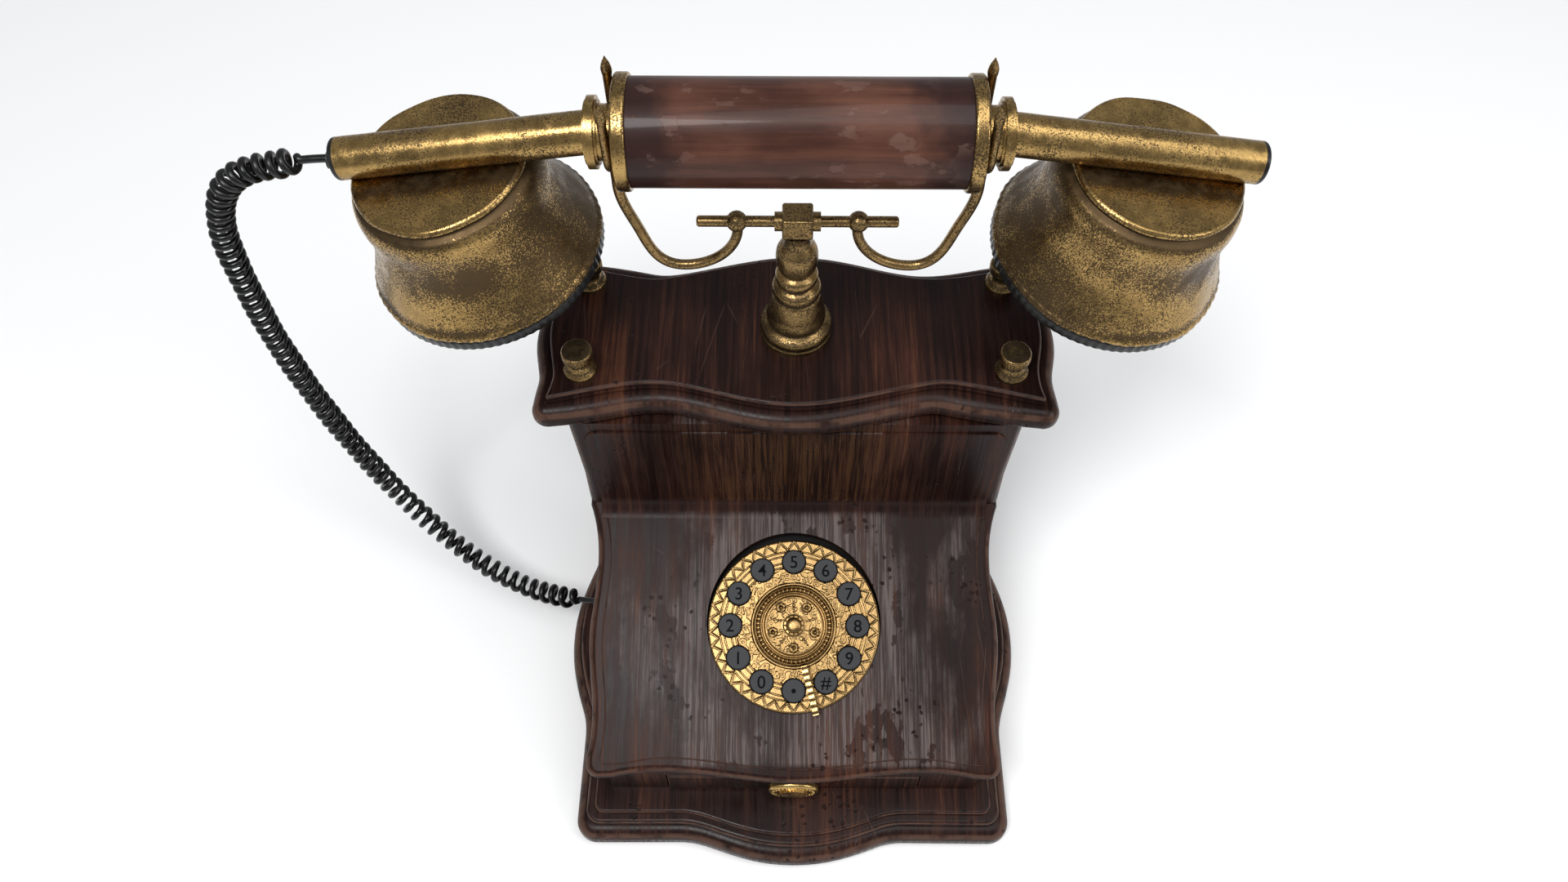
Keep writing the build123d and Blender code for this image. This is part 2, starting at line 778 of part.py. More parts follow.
runner_length = 62.0
runner_height = drawer_bottom - plinth_top - 0.3
runner_centre_y = front_back_y + runner_length / 2
runner_rails = [
    (-4.0, 8.0, runner_height),
    (2.6, 4.0, 9.0),
    (0.2, 2.0, runner_height),
]
with BuildPart() as drawer_runners:
    for hand in (-1, 1):
        for offset, rail_width, rail_height in runner_rails:
            rail_x = hand * (tray_half + offset)
            with BuildSketch(Plane((rail_x, runner_centre_y, plinth_top))):
                Rectangle(rail_width, runner_length)
            extrude(amount=rail_height)
drawer_runners.part.label = "drawer_runners"
export_step(drawer_runners.part, "parts/drawer_runners.step")

knob_z = (drawer_bottom + drawer_top) / 2
with BuildPart() as drawer_knob:
    with BuildSketch(Plane((0, front_face_y, knob_z), x_dir=(1, 0, 0), z_dir=(0, -1, 0))):
        Ellipse(knob_half_width - 1.6, knob_half_height - 1.6)
    extrude(amount=1.4)
    with BuildSketch(Plane((0, front_face_y - 1.4, knob_z), x_dir=(1, 0, 0), z_dir=(0, -1, 0))):
        Ellipse(knob_half_width, knob_half_height)
    extrude(amount=2.4)
    fillet(drawer_knob.faces().sort_by(Axis.Y)[0].edges(), 1.3)
    with BuildSketch(Plane((0, front_face_y - 3.8, knob_z), x_dir=(1, 0, 0), z_dir=(0, -1, 0))):
        Ellipse(5.6, 3.6)
    extrude(amount=0.9)
drawer_knob.part.label = "drawer_knob"
export_step(drawer_knob.part, "parts/drawer_knob.step")

# --- ringer, circuit board, line jack -------------------------

ringer_y = 38.0
ringer_z = plinth_top
gong_x = 27.0
gong_radius = 18.0
gong_z = ringer_z + 24.0
clapper_y = ringer_y + 22.0
with BuildPart() as ringer_frame:
    with BuildSketch(Plane((0, ringer_y + 4, ringer_z))):
        RectangleRounded(96, 50, 4)
    extrude(amount=2.0)
    for x in (-gong_x, gong_x):
        with BuildSketch(Plane((x, ringer_y, ringer_z))):
            Circle(3.0)
        extrude(amount=gong_z - ringer_z)
    with BuildSketch(Plane((0, clapper_y, ringer_z))):
        Circle(1.5)
    extrude(amount=22.0)
    with BuildSketch(Plane((0, clapper_y, ringer_z))):
        Circle(3.5)
    extrude(amount=16.0)
ringer_frame.part.label = "ringer_frame"
export_step(ringer_frame.part, "parts/ringer_frame.step")

gong_profile = [(0, 0), (4, 0), (12.5, -2.4), (16.6, -6.6), (gong_radius, -12), (gong_radius - 1.4, -12)]
gong_profile += [(15.2, -7.2), (11.8, -3.8), (3.6, -1.6), (0, -1.6)]
with BuildPart() as gongs:
    for x in (-gong_x, gong_x):
        top = (x, ringer_y, gong_z + 1.6)
        with BuildSketch(axis_plane(top, (0, 0, 1))):
            with BuildLine():
                Polyline(*gong_profile, close=True)
            make_face()
        revolve(axis=Axis(top, (0, 0, 1)))
gongs.part.label = "gongs"
export_step(gongs.part, "parts/gongs.step")

coil_x = 11.0
with BuildPart() as ringer_coils:
    for x in (-coil_x, coil_x):
        for radius, bottom, height in ((6.5, 2.0, 1.2), (5.6, 3.2, 13.6), (6.5, 16.8, 1.2)):
            with BuildSketch(Plane((x, clapper_y - 2, ringer_z + bottom))):
                Circle(radius)
            extrude(amount=height)
ringer_coils.part.label = "ringer_coils"
export_step(ringer_coils.part, "parts/ringer_coils.step")

clapper_z = ringer_z + 16.3
clapper_length = 22.0
with BuildPart() as clapper:
    with BuildSketch(Plane((0, clapper_y, clapper_z))):
        Circle(3.2)
        with Locations((0, -clapper_length / 2)):
            Rectangle(1.6, clapper_length)
        Circle(1.5 + running_clearance, mode=Mode.SUBTRACT)
    extrude(amount=3.0)
    with Locations((0, clapper_y - clapper_length, clapper_z + 1.5)):
        Sphere(3.0)
clapper.part.label = "clapper"
export_step(clapper.part, "parts/clapper.step")

with BuildPart() as circuit_board:
    with BuildSketch(Plane.XZ.offset(-(back_wall_y - wall_thickness))):
        with Locations((0, 68)):
            Rectangle(90, 38)
    extrude(amount=1.6)
    for x, z, width, height, depth in ((-24, 72, 14, 10, 8), (4, 64, 22, 9, 4), (30, 76, 9, 9, 9)):
        with BuildSketch(Plane.XZ.offset(-(back_wall_y - wall_thickness - 1.6))):
            with Locations((x, z)):
                Rectangle(width, height)
        extrude(amount=depth)
circuit_board.part.label = "circuit_board"
export_step(circuit_board.part, "parts/circuit_board.step")

socket_half_width = 5.8
socket_height = 6.6
socket_depth = 9.0
with BuildPart() as line_jack:
    with BuildSketch(Plane.XZ.offset(-back_wall_y)):
        with Locations((0, jack_bottom + jack_height / 2)):
            Rectangle(2 * jack_half_width, jack_height)
    extrude(amount=12)
    with BuildSketch(Plane.XZ.offset(-back_wall_y)):
        with Locations((0, jack_bottom + jack_height / 2)):
            Rectangle(2 * socket_half_width, socket_height)
    extrude(amount=socket_depth, mode=Mode.SUBTRACT)
line_jack.part.label = "line_jack"
export_step(line_jack.part, "parts/line_jack.step")

# --- handset ------------------------------------------------------------------


def axial_ring(start, radius, bore):
    """Ring-shaped section square to the handset's long axis."""
    with BuildSketch(Plane.YZ.offset(start)) as section:
        with Locations((lid_centre_y, handset_z)):
            Circle(radius)
            Circle(bore, mode=Mode.SUBTRACT)
    return section.sketch


core_bore = 4.0
with BuildPart() as grip:
    extrude(axial_ring(-grip_half_length, grip_radius, core_bore), amount=2 * grip_half_length)
grip.part.label = "grip"
export_step(grip.part, "parts/grip.step")

ring_width = end_ring_out - grip_half_length
collar_width = collar_out - neck_out
for side, hand in (("left", -1), ("right", 1)):
    ring_start = min(hand * grip_half_length, hand * end_ring_out)
    neck_start = min(hand * end_ring_out, hand * neck_out)
    collar_start = min(hand * neck_out, hand * collar_out)
    disc_start = collar_start + (collar_width - disc_width) / 2
    with BuildPart() as ferrule:
        extrude(axial_ring(ring_start, end_ring_radius, core_bore), amount=ring_width)
        outer_edges = ferrule.edges().filter_by(GeomType.CIRCLE).sort_by(SortBy.RADIUS)[-2:]
        fillet(outer_edges, 0.8)
        extrude(axial_ring(neck_start, neck_radius, core_bore), amount=neck_out - end_ring_out)
        extrude(axial_ring(collar_start, collar_radius - 1.2, core_bore), amount=collar_width)
        extrude(axial_ring(disc_start, collar_radius, core_bore), amount=disc_width)
    ferrule.part.label = f"ferrule_{side}"
    export_step(ferrule.part, f"parts/ferrule_{side}.step")

tube_axes = {
    hand: Vector(hand * cos(radians(droop)), 0, -sin(radians(droop))) for hand in (-1, 1)
}
tube_roots = {hand: Vector(hand * collar_out, lid_centre_y, handset_z) for hand in (-1, 1)}
with BuildPart() as tubes:
    for hand in (-1, 1):
        tube_end = tube_roots[hand] + tube_axes[hand] * tube_length
        with BuildSketch(Plane(origin=tube_end, z_dir=-tube_axes[hand])):
            Circle(tube_radius)
            Circle(tube_bore, mode=Mode.SUBTRACT)
        extrude(amount=tube_length + 3)
    with BuildSketch(Plane.YZ.offset(-collar_out)):
        with Locations((lid_centre_y, handset_z)):
            Circle(tube_radius + 4)
    extrude(amount=2 * collar_out, mode=Mode.SUBTRACT)
tubes.part.label = "tubes"
export_step(tubes.part, "parts/tubes.step")

with BuildPart() as end_caps:
    for hand in (-1, 1):
        plug_root = tube_roots[hand] + tube_axes[hand] * (tube_length - 4)
        with BuildSketch(Plane(origin=plug_root, z_dir=tube_axes[hand])):
            Circle(tube_bore)
        extrude(amount=4)
        disc_root = tube_roots[hand] + tube_axes[hand] * tube_length
        with BuildSketch(Plane(origin=disc_root, z_dir=tube_axes[hand])):
            Circle(tube_radius)
        extrude(amount=cap_thickness)
        cap_face = end_caps.faces().sort_by(Axis(tube_roots[hand], tube_axes[hand]))[-1]
        fillet(cap_face.edges(), 0.8)
end_caps.part.label = "end_caps"
export_step(end_caps.part, "parts/end_caps.step")

lean_in = radians(cup_lean_in)
lean_front = radians(cup_lean_front)
cup_axes = {
    hand: Vector(
        hand * sin(lean_in) * cos(lean_front),
        -sin(lean_front),
        cos(lean_in) * cos(lean_front),
    )
    for hand in (-1, 1)
}
cup_origins = {hand: Vector(hand * cup_x, cup_y, cup_z) for hand in (-1, 1)}
cup_outer = [
    (26.6, 0),
    (27.6, -0.6),
    (27.8, -1.5),
    (27.0, -2.5),
    (26.9, -3.3),
    (28.4, -4.2),
    (30.0, -6.6),
    (30.6, -10.0),
    (30.3, -15.0),
    (31.2, -21.5),
    (33.6, -28.5),
    (36.4, -34.5),
    (37.9, -38.4),
    (38.9, -39.6),
    (38.6, -41.0),
    (37.4, -41.0),
]
cup_inner = [
    (36.4, -39.0),
    (34.4, -34.5),
    (31.6, -28.5),
    (29.3, -21.5),
    (28.4, -15.0),
    (28.6, -10.0),
    (26.0, -5.6),
    (24.0, -4.4),
    (0, -4.4),
    (0, 0),
]
for side, hand in (("left", -1), ("right", 1)):
    with BuildPart() as cup:
        with BuildSketch(axis_plane(cup_origins[hand], cup_axes[hand])):
            with BuildLine():
                Polyline(*cup_outer, *cup_inner, close=True)
            make_face()
        revolve(axis=Axis(cup_origins[hand], cup_axes[hand]))
        with BuildSketch(Plane(origin=tube_roots[hand], z_dir=tube_axes[hand])):
            Circle(tube_radius)
        extrude(amount=tube_length + 10, mode=Mode.SUBTRACT)
    cup.part.label = f"cup_{side}"
    export_step(cup.part, f"parts/cup_{side}.step")

capsule_profile = [(0, -24), (18, -24), (20, -27), (28.5, -28.5), (30.5, -33), (30.5, -37), (0, -37)]
with BuildPart() as capsules:
    for hand in (-1, 1):
        with BuildSketch(axis_plane(cup_origins[hand], cup_axes[hand])):
            with BuildLine():
                Polyline(*capsule_profile, close=True)
            make_face()
        revolve(axis=Axis(cup_origins[hand], cup_axes[hand]))
capsules.part.label = "capsules"
export_step(capsules.part, "parts/capsules.step")

ear_profile = [(0, -38.6), (35.6, -38.6), (36.2, -41.0), (38.2, -41.0), (38.2, -44.4)]
ear_profile += [(36.8, -45.8), (33.0, -45.8), (20.0, -42.4), (0, -41.4)]
ear_hole_radius = 1.6
ear_hole_start = 47
ear_hole_depth = 8.4
ear_hole_rings = [(7, 6), (14, 12)]
with BuildPart() as ear_caps:
    for hand in (-1, 1):
        with BuildSketch(axis_plane(cup_origins[hand], cup_axes[hand])):
            with BuildLine():
                Polyline(*ear_profile, close=True)
            make_face()
        revolve(axis=Axis(cup_origins[hand], cup_axes[hand]))
    for hand in (-1, 1):
        below = cup_origins[hand] - cup_axes[hand] * ear_hole_start
        with BuildSketch(Plane(origin=below, z_dir=cup_axes[hand])):
            Circle(ear_hole_radius)
            for ring_radius, ring_holes in ear_hole_rings:
                with PolarLocations(ring_radius, ring_holes):
                    Circle(ear_hole_radius)
        extrude(amount=ear_hole_depth, mode=Mode.SUBTRACT)
ear_caps.part.label = "ear_caps"
export_step(ear_caps.part, "parts/ear_caps.step")

# --- curly handset cord -------------------------------------------------------

cord_exit = Vector(-collar_out, lid_centre_y, handset_z) + Vector(
    -cos(radians(droop)), 0, -sin(radians(droop))
) * (tube_length + cap_thickness)
gland_length = 3.0
lead_z = 230.6
coil_start_x = -149.0
coil_offset = coil_radius - lead_radius
coil_points = [
    (coil_start_x, lid_centre_y, lead_z - coil_offset),
    (-161.5, 58.1, 227.0),
    (-170.5, 58.1, 223.0),
    (-177.0, 58.1, 215.5),
    (-181.5, 58.1, 205.0),
    (-184.8, 58.1, 191.5),
    (-186.8, 58.0, 152.3),
    (-185.4, 57.2, 127.5),
    (-181.4, 55.0, 100.9),
    (-174.7, 51.6, 74.5),
    (-164.9, 46.8, 49.1),
    (-151.5, 39.0, 31.5),
    (-137.2, 30.3, 23.0),
    (-125.9, 24.2, 19.8),
    (-113.2, 18.2, 19.0),
    (-102.7, 14.1, 20.8),
    (-93.4, 11.0, 23.4),
]


def cord_solid(points, radius, name):
    """A round cord along straight runs joined by arcs as large as the runs allow."""
    corners = [Vector(*p) for p in points]
    radii = []
    for before, here, after in zip(corners, corners[1:], corners[2:]):
        turn = radians((here - before).get_angle(after - here))
        shorter = min((here - before).length, (after - here).length)
        radii.append(0.45 * shorter / tan(turn / 2))
    with BuildPart() as solid:
        with BuildLine() as path:
            if radii:
                FilletPolyline(*corners, radius=radii)
            else:
                Line(*corners)
        route = Wire(path.edges())
        with BuildSketch(Plane(origin=route @ 0, z_dir=route % 0)):
            Circle(radius)
        sweep(path=route)
    print(name, "radii", [round(r, 1) for r in radii])
    print(name, "length", round(route.length, 1), "volume", round(solid.part.volume, 1))
    print(name, "section times length", round(pi * radius**2 * route.length, 1))
    return solid.part


with BuildPart() as cord_gland:
    with BuildSketch(Plane(origin=cord_exit, z_dir=(-cos(radians(droop)), 0, -sin(radians(droop))))):
        Circle(2.6)
    extrude(amount=gland_length)
    with BuildSketch(Plane.YZ.offset(cord_exit.X - gland_length + 0.6)):
        with Locations((lid_centre_y, lead_z)):
            Rectangle(20, 20)
    extrude(amount=-5, mode=Mode.SUBTRACT)
cord_gland.part.label = "cord_gland"
export_step(cord_gland.part, "parts/cord_gland.step")

gland_face_x = cord_exit.X - gland_length + 0.6
upper_lead_points = [
    (gland_face_x, lid_centre_y, lead_z),
    (coil_start_x, lid_centre_y, lead_z),
]
with BuildPart() as cord_lead_handset:
    add(cord_solid(upper_lead_points, lead_radius, "upper lead"))
cord_lead_handset.part.label = "cord_lead_handset"
export_step(cord_lead_handset.part, "parts/cord_lead_handset.step")

with BuildPart() as cord_coil:
    add(cord_solid(coil_points, coil_radius, "coil"))
cord_coil.part.label = "cord_coil"
export_step(cord_coil.part, "parts/cord_coil.step")

grommet_face_x = -body_half_width - 2.0
lead_points = [
    (grommet_face_x, grommet_y, grommet_z),
    (-79.5, grommet_y, grommet_z),
    (-94.3, 11.3, 23.0),
]
with BuildPart() as cord_lead_base:
    add(cord_solid(lead_points, lead_radius, "lower lead"))
cord_lead_base.part.label = "cord_lead_base"
export_step(cord_lead_base.part, "parts/cord_lead_base.step")

with BuildPart() as cord_grommet:
    with BuildSketch(Plane.YZ.offset(-body_half_width)):
        with Locations((grommet_y, grommet_z)):
            Circle(grommet_radius)
    extrude(amount=wall_thickness)
    with BuildSketch(Plane.YZ.offset(grommet_face_x)):
        with Locations((grommet_y, grommet_z)):
            Circle(grommet_radius + 1.2)
    extrude(amount=2.0)
cord_grommet.part.label = "cord_grommet"
export_step(cord_grommet.part, "parts/cord_grommet.step")
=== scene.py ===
from math import acos, cos, pi, radians, sin, tau

import bpy
from mathutils import Matrix, Vector, noise


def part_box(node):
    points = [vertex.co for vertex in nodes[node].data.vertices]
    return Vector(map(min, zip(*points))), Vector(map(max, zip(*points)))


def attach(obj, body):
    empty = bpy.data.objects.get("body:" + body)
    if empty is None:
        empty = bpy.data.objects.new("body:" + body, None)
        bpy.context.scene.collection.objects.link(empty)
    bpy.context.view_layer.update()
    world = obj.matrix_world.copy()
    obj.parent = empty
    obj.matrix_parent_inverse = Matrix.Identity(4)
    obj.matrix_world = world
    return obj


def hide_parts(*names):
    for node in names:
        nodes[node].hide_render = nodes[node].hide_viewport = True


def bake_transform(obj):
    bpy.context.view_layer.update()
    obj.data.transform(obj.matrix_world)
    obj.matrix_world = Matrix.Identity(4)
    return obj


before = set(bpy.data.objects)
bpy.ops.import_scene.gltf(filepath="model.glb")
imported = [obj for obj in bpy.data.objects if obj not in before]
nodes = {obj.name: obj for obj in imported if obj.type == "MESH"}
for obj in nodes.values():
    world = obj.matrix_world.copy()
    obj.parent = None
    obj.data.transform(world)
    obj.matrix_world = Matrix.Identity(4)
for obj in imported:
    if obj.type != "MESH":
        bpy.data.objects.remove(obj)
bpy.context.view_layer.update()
MM = 0.001


def placed(name, data):
    """A new object in the scene."""
    obj = bpy.data.objects.new(name, data)
    bpy.context.scene.collection.objects.link(obj)
    return obj


# --- camera -------------------------------------------------------------------

CAMERA_PLACE = (-0.0040, -0.20274, 0.49104)
CAMERA_TILT = radians(32.0)
CAMERA_ROLL = radians(0.25)
camera_data = bpy.data.cameras.new("camera")
camera_data.sensor_width = 36.0
camera_data.lens = 27.82
camera_data.clip_start = 0.01
camera = placed("camera", camera_data)
camera.matrix_world = (
    Matrix.Translation(CAMERA_PLACE)
    @ Matrix.Rotation(CAMERA_TILT, 4, "X")
    @ Matrix.Rotation(CAMERA_ROLL, 4, "Z")
)
bpy.context.scene.camera = camera
bpy.context.scene.view_settings.view_transform = "Standard"

# --- places shared with the CAD pieces ----------------------------------------
# The finger stop, ring, well and rosette values and FACE are in millimetres, the rest in metres.

SLOPE = radians(20.1)
PANEL_FRONT_Y = -0.0716
PANEL_FRONT_Z = 0.0446
CREASE_Y = 0.0251
CREASE_Z = 0.0800
STOP_TURN = radians(14.2)
STOP_FIRST_RIB = 17.5
STOP_RIB_STEP = 2.4
DIAL_Y = -0.0186
DIAL_Z = PANEL_FRONT_Z + (DIAL_Y - PANEL_FRONT_Y) * sin(SLOPE) / cos(SLOPE)
dial_place = Matrix.Translation((0, DIAL_Y, DIAL_Z)) @ Matrix.Rotation(SLOPE, 4, "X")
FACE = 1.2
RING_RADII = (22.3, 23.9, 26.4, 28.0)
RIM_TEETH = 38
WELL_RADIUS = 4.85
ROSETTES = 5
ROSETTE_START = radians(54)
ROSETTE_CIRCLE = 8.3
LID_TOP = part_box("lid")[1][2]
LID_Y = 0.0581
BUTTON_CIRCLE = 0.0241
BUTTON_FACE = 0.0029
BUTTONS = ["5", "4", "3", "2", "1", "0", "point", "hash", "9", "8", "7", "6"]
BUTTON_STEP = radians(30)
FIRST_BUTTON = radians(90)


# --- building helpers ---------------------------------------------------------


def add_mesh(name, vertices, faces, material, body, grime_and_shadow=None):
    """A smooth-shaded mesh object that rides on a body, with its patina and any painted shadow at
    each vertex.
    """
    mesh = bpy.data.meshes.new(name)
    mesh.from_pydata(vertices, [], faces)
    mesh.update()
    mesh.shade_smooth()
    mesh.materials.append(material)
    if grime_and_shadow:
        mesh.attributes.new("grime_and_shadow", "FLOAT", "POINT").data.foreach_set("value", grime_and_shadow)
    obj = placed(name, mesh)
    if body:
        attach(obj, body)
    return obj


def smooth_profile(points, steps=5):
    """Catmull-Rom curve through a profile's points; a doubled point makes a corner."""
    padded = [points[0], *points, points[-1]]
    curve = []
    for before, start, end, after in zip(padded, padded[1:], padded[2:], padded[3:]):
        for step in range(steps):
            t = step / steps
            curve.append(
                tuple(
                    0.5 * (2 * b + (c - a) * t + (2 * a - 5 * b + 4 * c - d) * t**2)
                    + 0.5 * (3 * b - a - 3 * c + d) * t**3
                    for a, b, c, d in zip(before, start, end, after)
                )
            )
    return [*curve, points[-1]]


def lathe_data(profile, place, segments=96, shape=None):
    """Vertices and faces of a profile in millimetres turned about place's Z axis."""
    vertices = []
    faces = []
    for radius, height in profile:
        for segment in range(segments):
            angle = tau * segment / segments
            r, z = (radius, height) if shape is None else shape(radius, height, angle)
            vertices.append(place @ Vector((r * MM * cos(angle), r * MM * sin(angle), z * MM)))
    for ring in range(len(profile) - 1):
        for segment in range(segments):
            after = (segment + 1) % segments
            low, high = ring * segments, (ring + 1) * segments
            faces.append((low + segment, low + after, high + after, high + segment))
    return vertices, faces


def hollows(profile, segments, reach=1.8):
    """How hollow a turned profile is at each vertex, from 0 to 1: dirt stays in the grooves."""
    values = []
    for r, z in profile:
        near = [p for p in profile if abs(p[0] - r) + abs(p[1] - z) < reach]
        sunk = sum(p[0] for p in near) / len(near) - r
        values += [max(0.0, min(1.0, sunk * 4.0))] * segments
    return values


def joined(pieces):
    """Several (vertices, faces) lists as one."""
    vertices, faces = [], []
    for some_vertices, some_faces in pieces:
        start = len(vertices)
        vertices += some_vertices
        faces += [tuple(start + corner for corner in face) for face in some_faces]
    return vertices, faces


def bead_data(centre, radius, flatten=1.0, place=None, rings=6, segments=12):
    """A small ball, flattened along place's Z axis."""
    place = place or Matrix.Identity(4)
    profile = []
    for ring in range(rings + 1):
        turn = pi * ring / rings - pi / 2
        profile.append((radius * cos(turn), radius * sin(turn) * flatten))
    return lathe_data(profile, place @ Matrix.Translation(Vector(centre) * MM), segments)


def tube_data(path, radius, sides=12):
    """A round tube along a list of points, with closed ends."""
    tangents = []
    for index in range(len(path)):
        before = path[max(index - 1, 0)]
        after = path[min(index + 1, len(path) - 1)]
        tangents.append((after - before).normalized())
    side = tangents[0].orthogonal().normalized()
    vertices, faces = [], []
    for point, tangent in zip(path, tangents):
        side = (side - tangent * side.dot(tangent)).normalized()
        up = tangent.cross(side)
        for corner in range(sides):
            angle = tau * corner / sides
            vertices.append(point + (side * cos(angle) + up * sin(angle)) * radius)
    for ring in range(len(path) - 1):
        for corner in range(sides):
            after = (corner + 1) % sides
            low, high = ring * sides, (ring + 1) * sides
            faces.append((low + corner, low + after, high + after, high + corner))
    faces.append(tuple(range(sides - 1, -1, -1)))
    faces.append(tuple(range(len(vertices) - sides, len(vertices))))
    return vertices, faces


# --- shader helpers -----------------------------------------------------------


class Shader:
    """A material's node tree, built one node at a time."""

    def __init__(self, name, **settings):
        self.material = bpy.data.materials.new(name)
        self.material.use_nodes = True
        self.tree = self.material.node_tree
        self.surface = self.tree.nodes["Principled BSDF"]
        for socket, value in settings.items():
            self.surface.inputs[socket.replace("_", " ")].default_value = value
        self.coordinates = self.node("ShaderNodeTexCoord").outputs["Object"]
        self.normal = self.node("ShaderNodeNewGeometry").outputs["Normal"]

    def node(self, kind, inputs=(), **properties):
        made = self.tree.nodes.new(kind)
        for name, value in properties.items():
            setattr(made, name, value)
        for socket, value in dict(inputs).items():
            if isinstance(value, bpy.types.NodeSocket):
                self.tree.links.new(value, made.inputs[socket])
            else:
                made.inputs[socket].default_value = value
        return made

    def stretched(self, scale, rotation=(0, 0, 0), vector=None):
        inputs = {"Vector": vector or self.coordinates, "Scale": scale, "Rotation": rotation}
        return self.node("ShaderNodeMapping", inputs).outputs["Vector"]

    def noise(self, scale, vector=None, detail=4.0, roughness=0.55, distortion=0.0):
        inputs = {
            "Vector": vector or self.coordinates,
            "Scale": scale,
            "Detail": detail,
            "Roughness": roughness,
            "Distortion": distortion,
        }
        return self.node("ShaderNodeTexNoise", inputs).outputs["Fac"]

    def cells(self, scale, vector=None, feature="F1"):
        inputs = {"Vector": vector or self.coordinates, "Scale": scale}
        made = self.node("ShaderNodeTexVoronoi", inputs, feature=feature)
        return made.outputs["Distance"]

    def math(self, operation, a, b=0.0, clamp=False):
        inputs = {0: a} if b is None else {0: a, 1: b}
        made = self.node("ShaderNodeMath", inputs, operation=operation, use_clamp=clamp)
        return made.outputs[0]

    def between(self, value, low, high, to_low=0.0, to_high=1.0):
        inputs = {
            "Value": value,
            "From Min": low,
            "From Max": high,
            "To Min": to_low,
            "To Max": to_high,
        }
        made = self.node("ShaderNodeMapRange", inputs, interpolation_type="SMOOTHSTEP")
        return made.outputs["Result"]

    def mix(self, factor, a, b):
        made = self.node("ShaderNodeMix", data_type="RGBA")
        for index, value in ((0, factor), (6, a), (7, b)):
            if isinstance(value, bpy.types.NodeSocket):
                self.tree.links.new(value, made.inputs[index])
            elif index == 0:
                made.inputs[index].default_value = value
            else:
                made.inputs[index].default_value = (*value, 1.0)
        return made.outputs[2]

    def bump(self, height, distance, strength=1.0):
        inputs = {"Height": height, "Distance": distance, "Strength": strength}
        current = self.surface.inputs["Normal"]
        if current.is_linked:
            inputs["Normal"] = current.links[0].from_socket
        made = self.node("ShaderNodeBump", inputs)
        self.tree.links.new(made.outputs["Normal"], current)

    def use(self, socket, value):
        self.tree.links.new(value, self.surface.inputs[socket])


# --- materials: wood ----------------------------------------------------------


def rubbed_highlit_edges(shader, low=0.88, high=0.97):
    """1 on rounded edges, where the surface faces none of the boards' own directions: where wear
    and a painted highlight lighten the wood.
    """
    towards = shader.node("ShaderNodeVectorMath", {0: shader.normal}, operation="ABSOLUTE")
    parts = shader.node("ShaderNodeSeparateXYZ", {0: towards.outputs[0]})
    facing = shader.math("MAXIMUM", parts.outputs["X"], parts.outputs["Y"])
    facing = shader.math("MAXIMUM", facing, parts.outputs["Z"])
    panel_normal = (0.0, -sin(SLOPE), cos(SLOPE))
    panel = shader.node(
        "ShaderNodeVectorMath", {0: shader.normal, 1: panel_normal}, operation="DOT_PRODUCT"
    )
    facing = shader.math("MAXIMUM", facing, panel.outputs["Value"])
    return shader.between(facing, low, high, 1.0, 0.0)


def scratches(shader, scale, turn, width):
    """Thin straight scratches, in patches."""
    long_cells = shader.stretched((1.0, 0.16, 0.16), (radians(8), 0, radians(turn)))
    edge = shader.cells(scale, long_cells, "DISTANCE_TO_EDGE")
    line = shader.between(edge, 0.0, width, 1.0, 0.0)
    patch = shader.between(shader.noise(scale * 0.55, detail=2.0), 0.56, 0.66)
    return shader.math("MULTIPLY", line, patch)


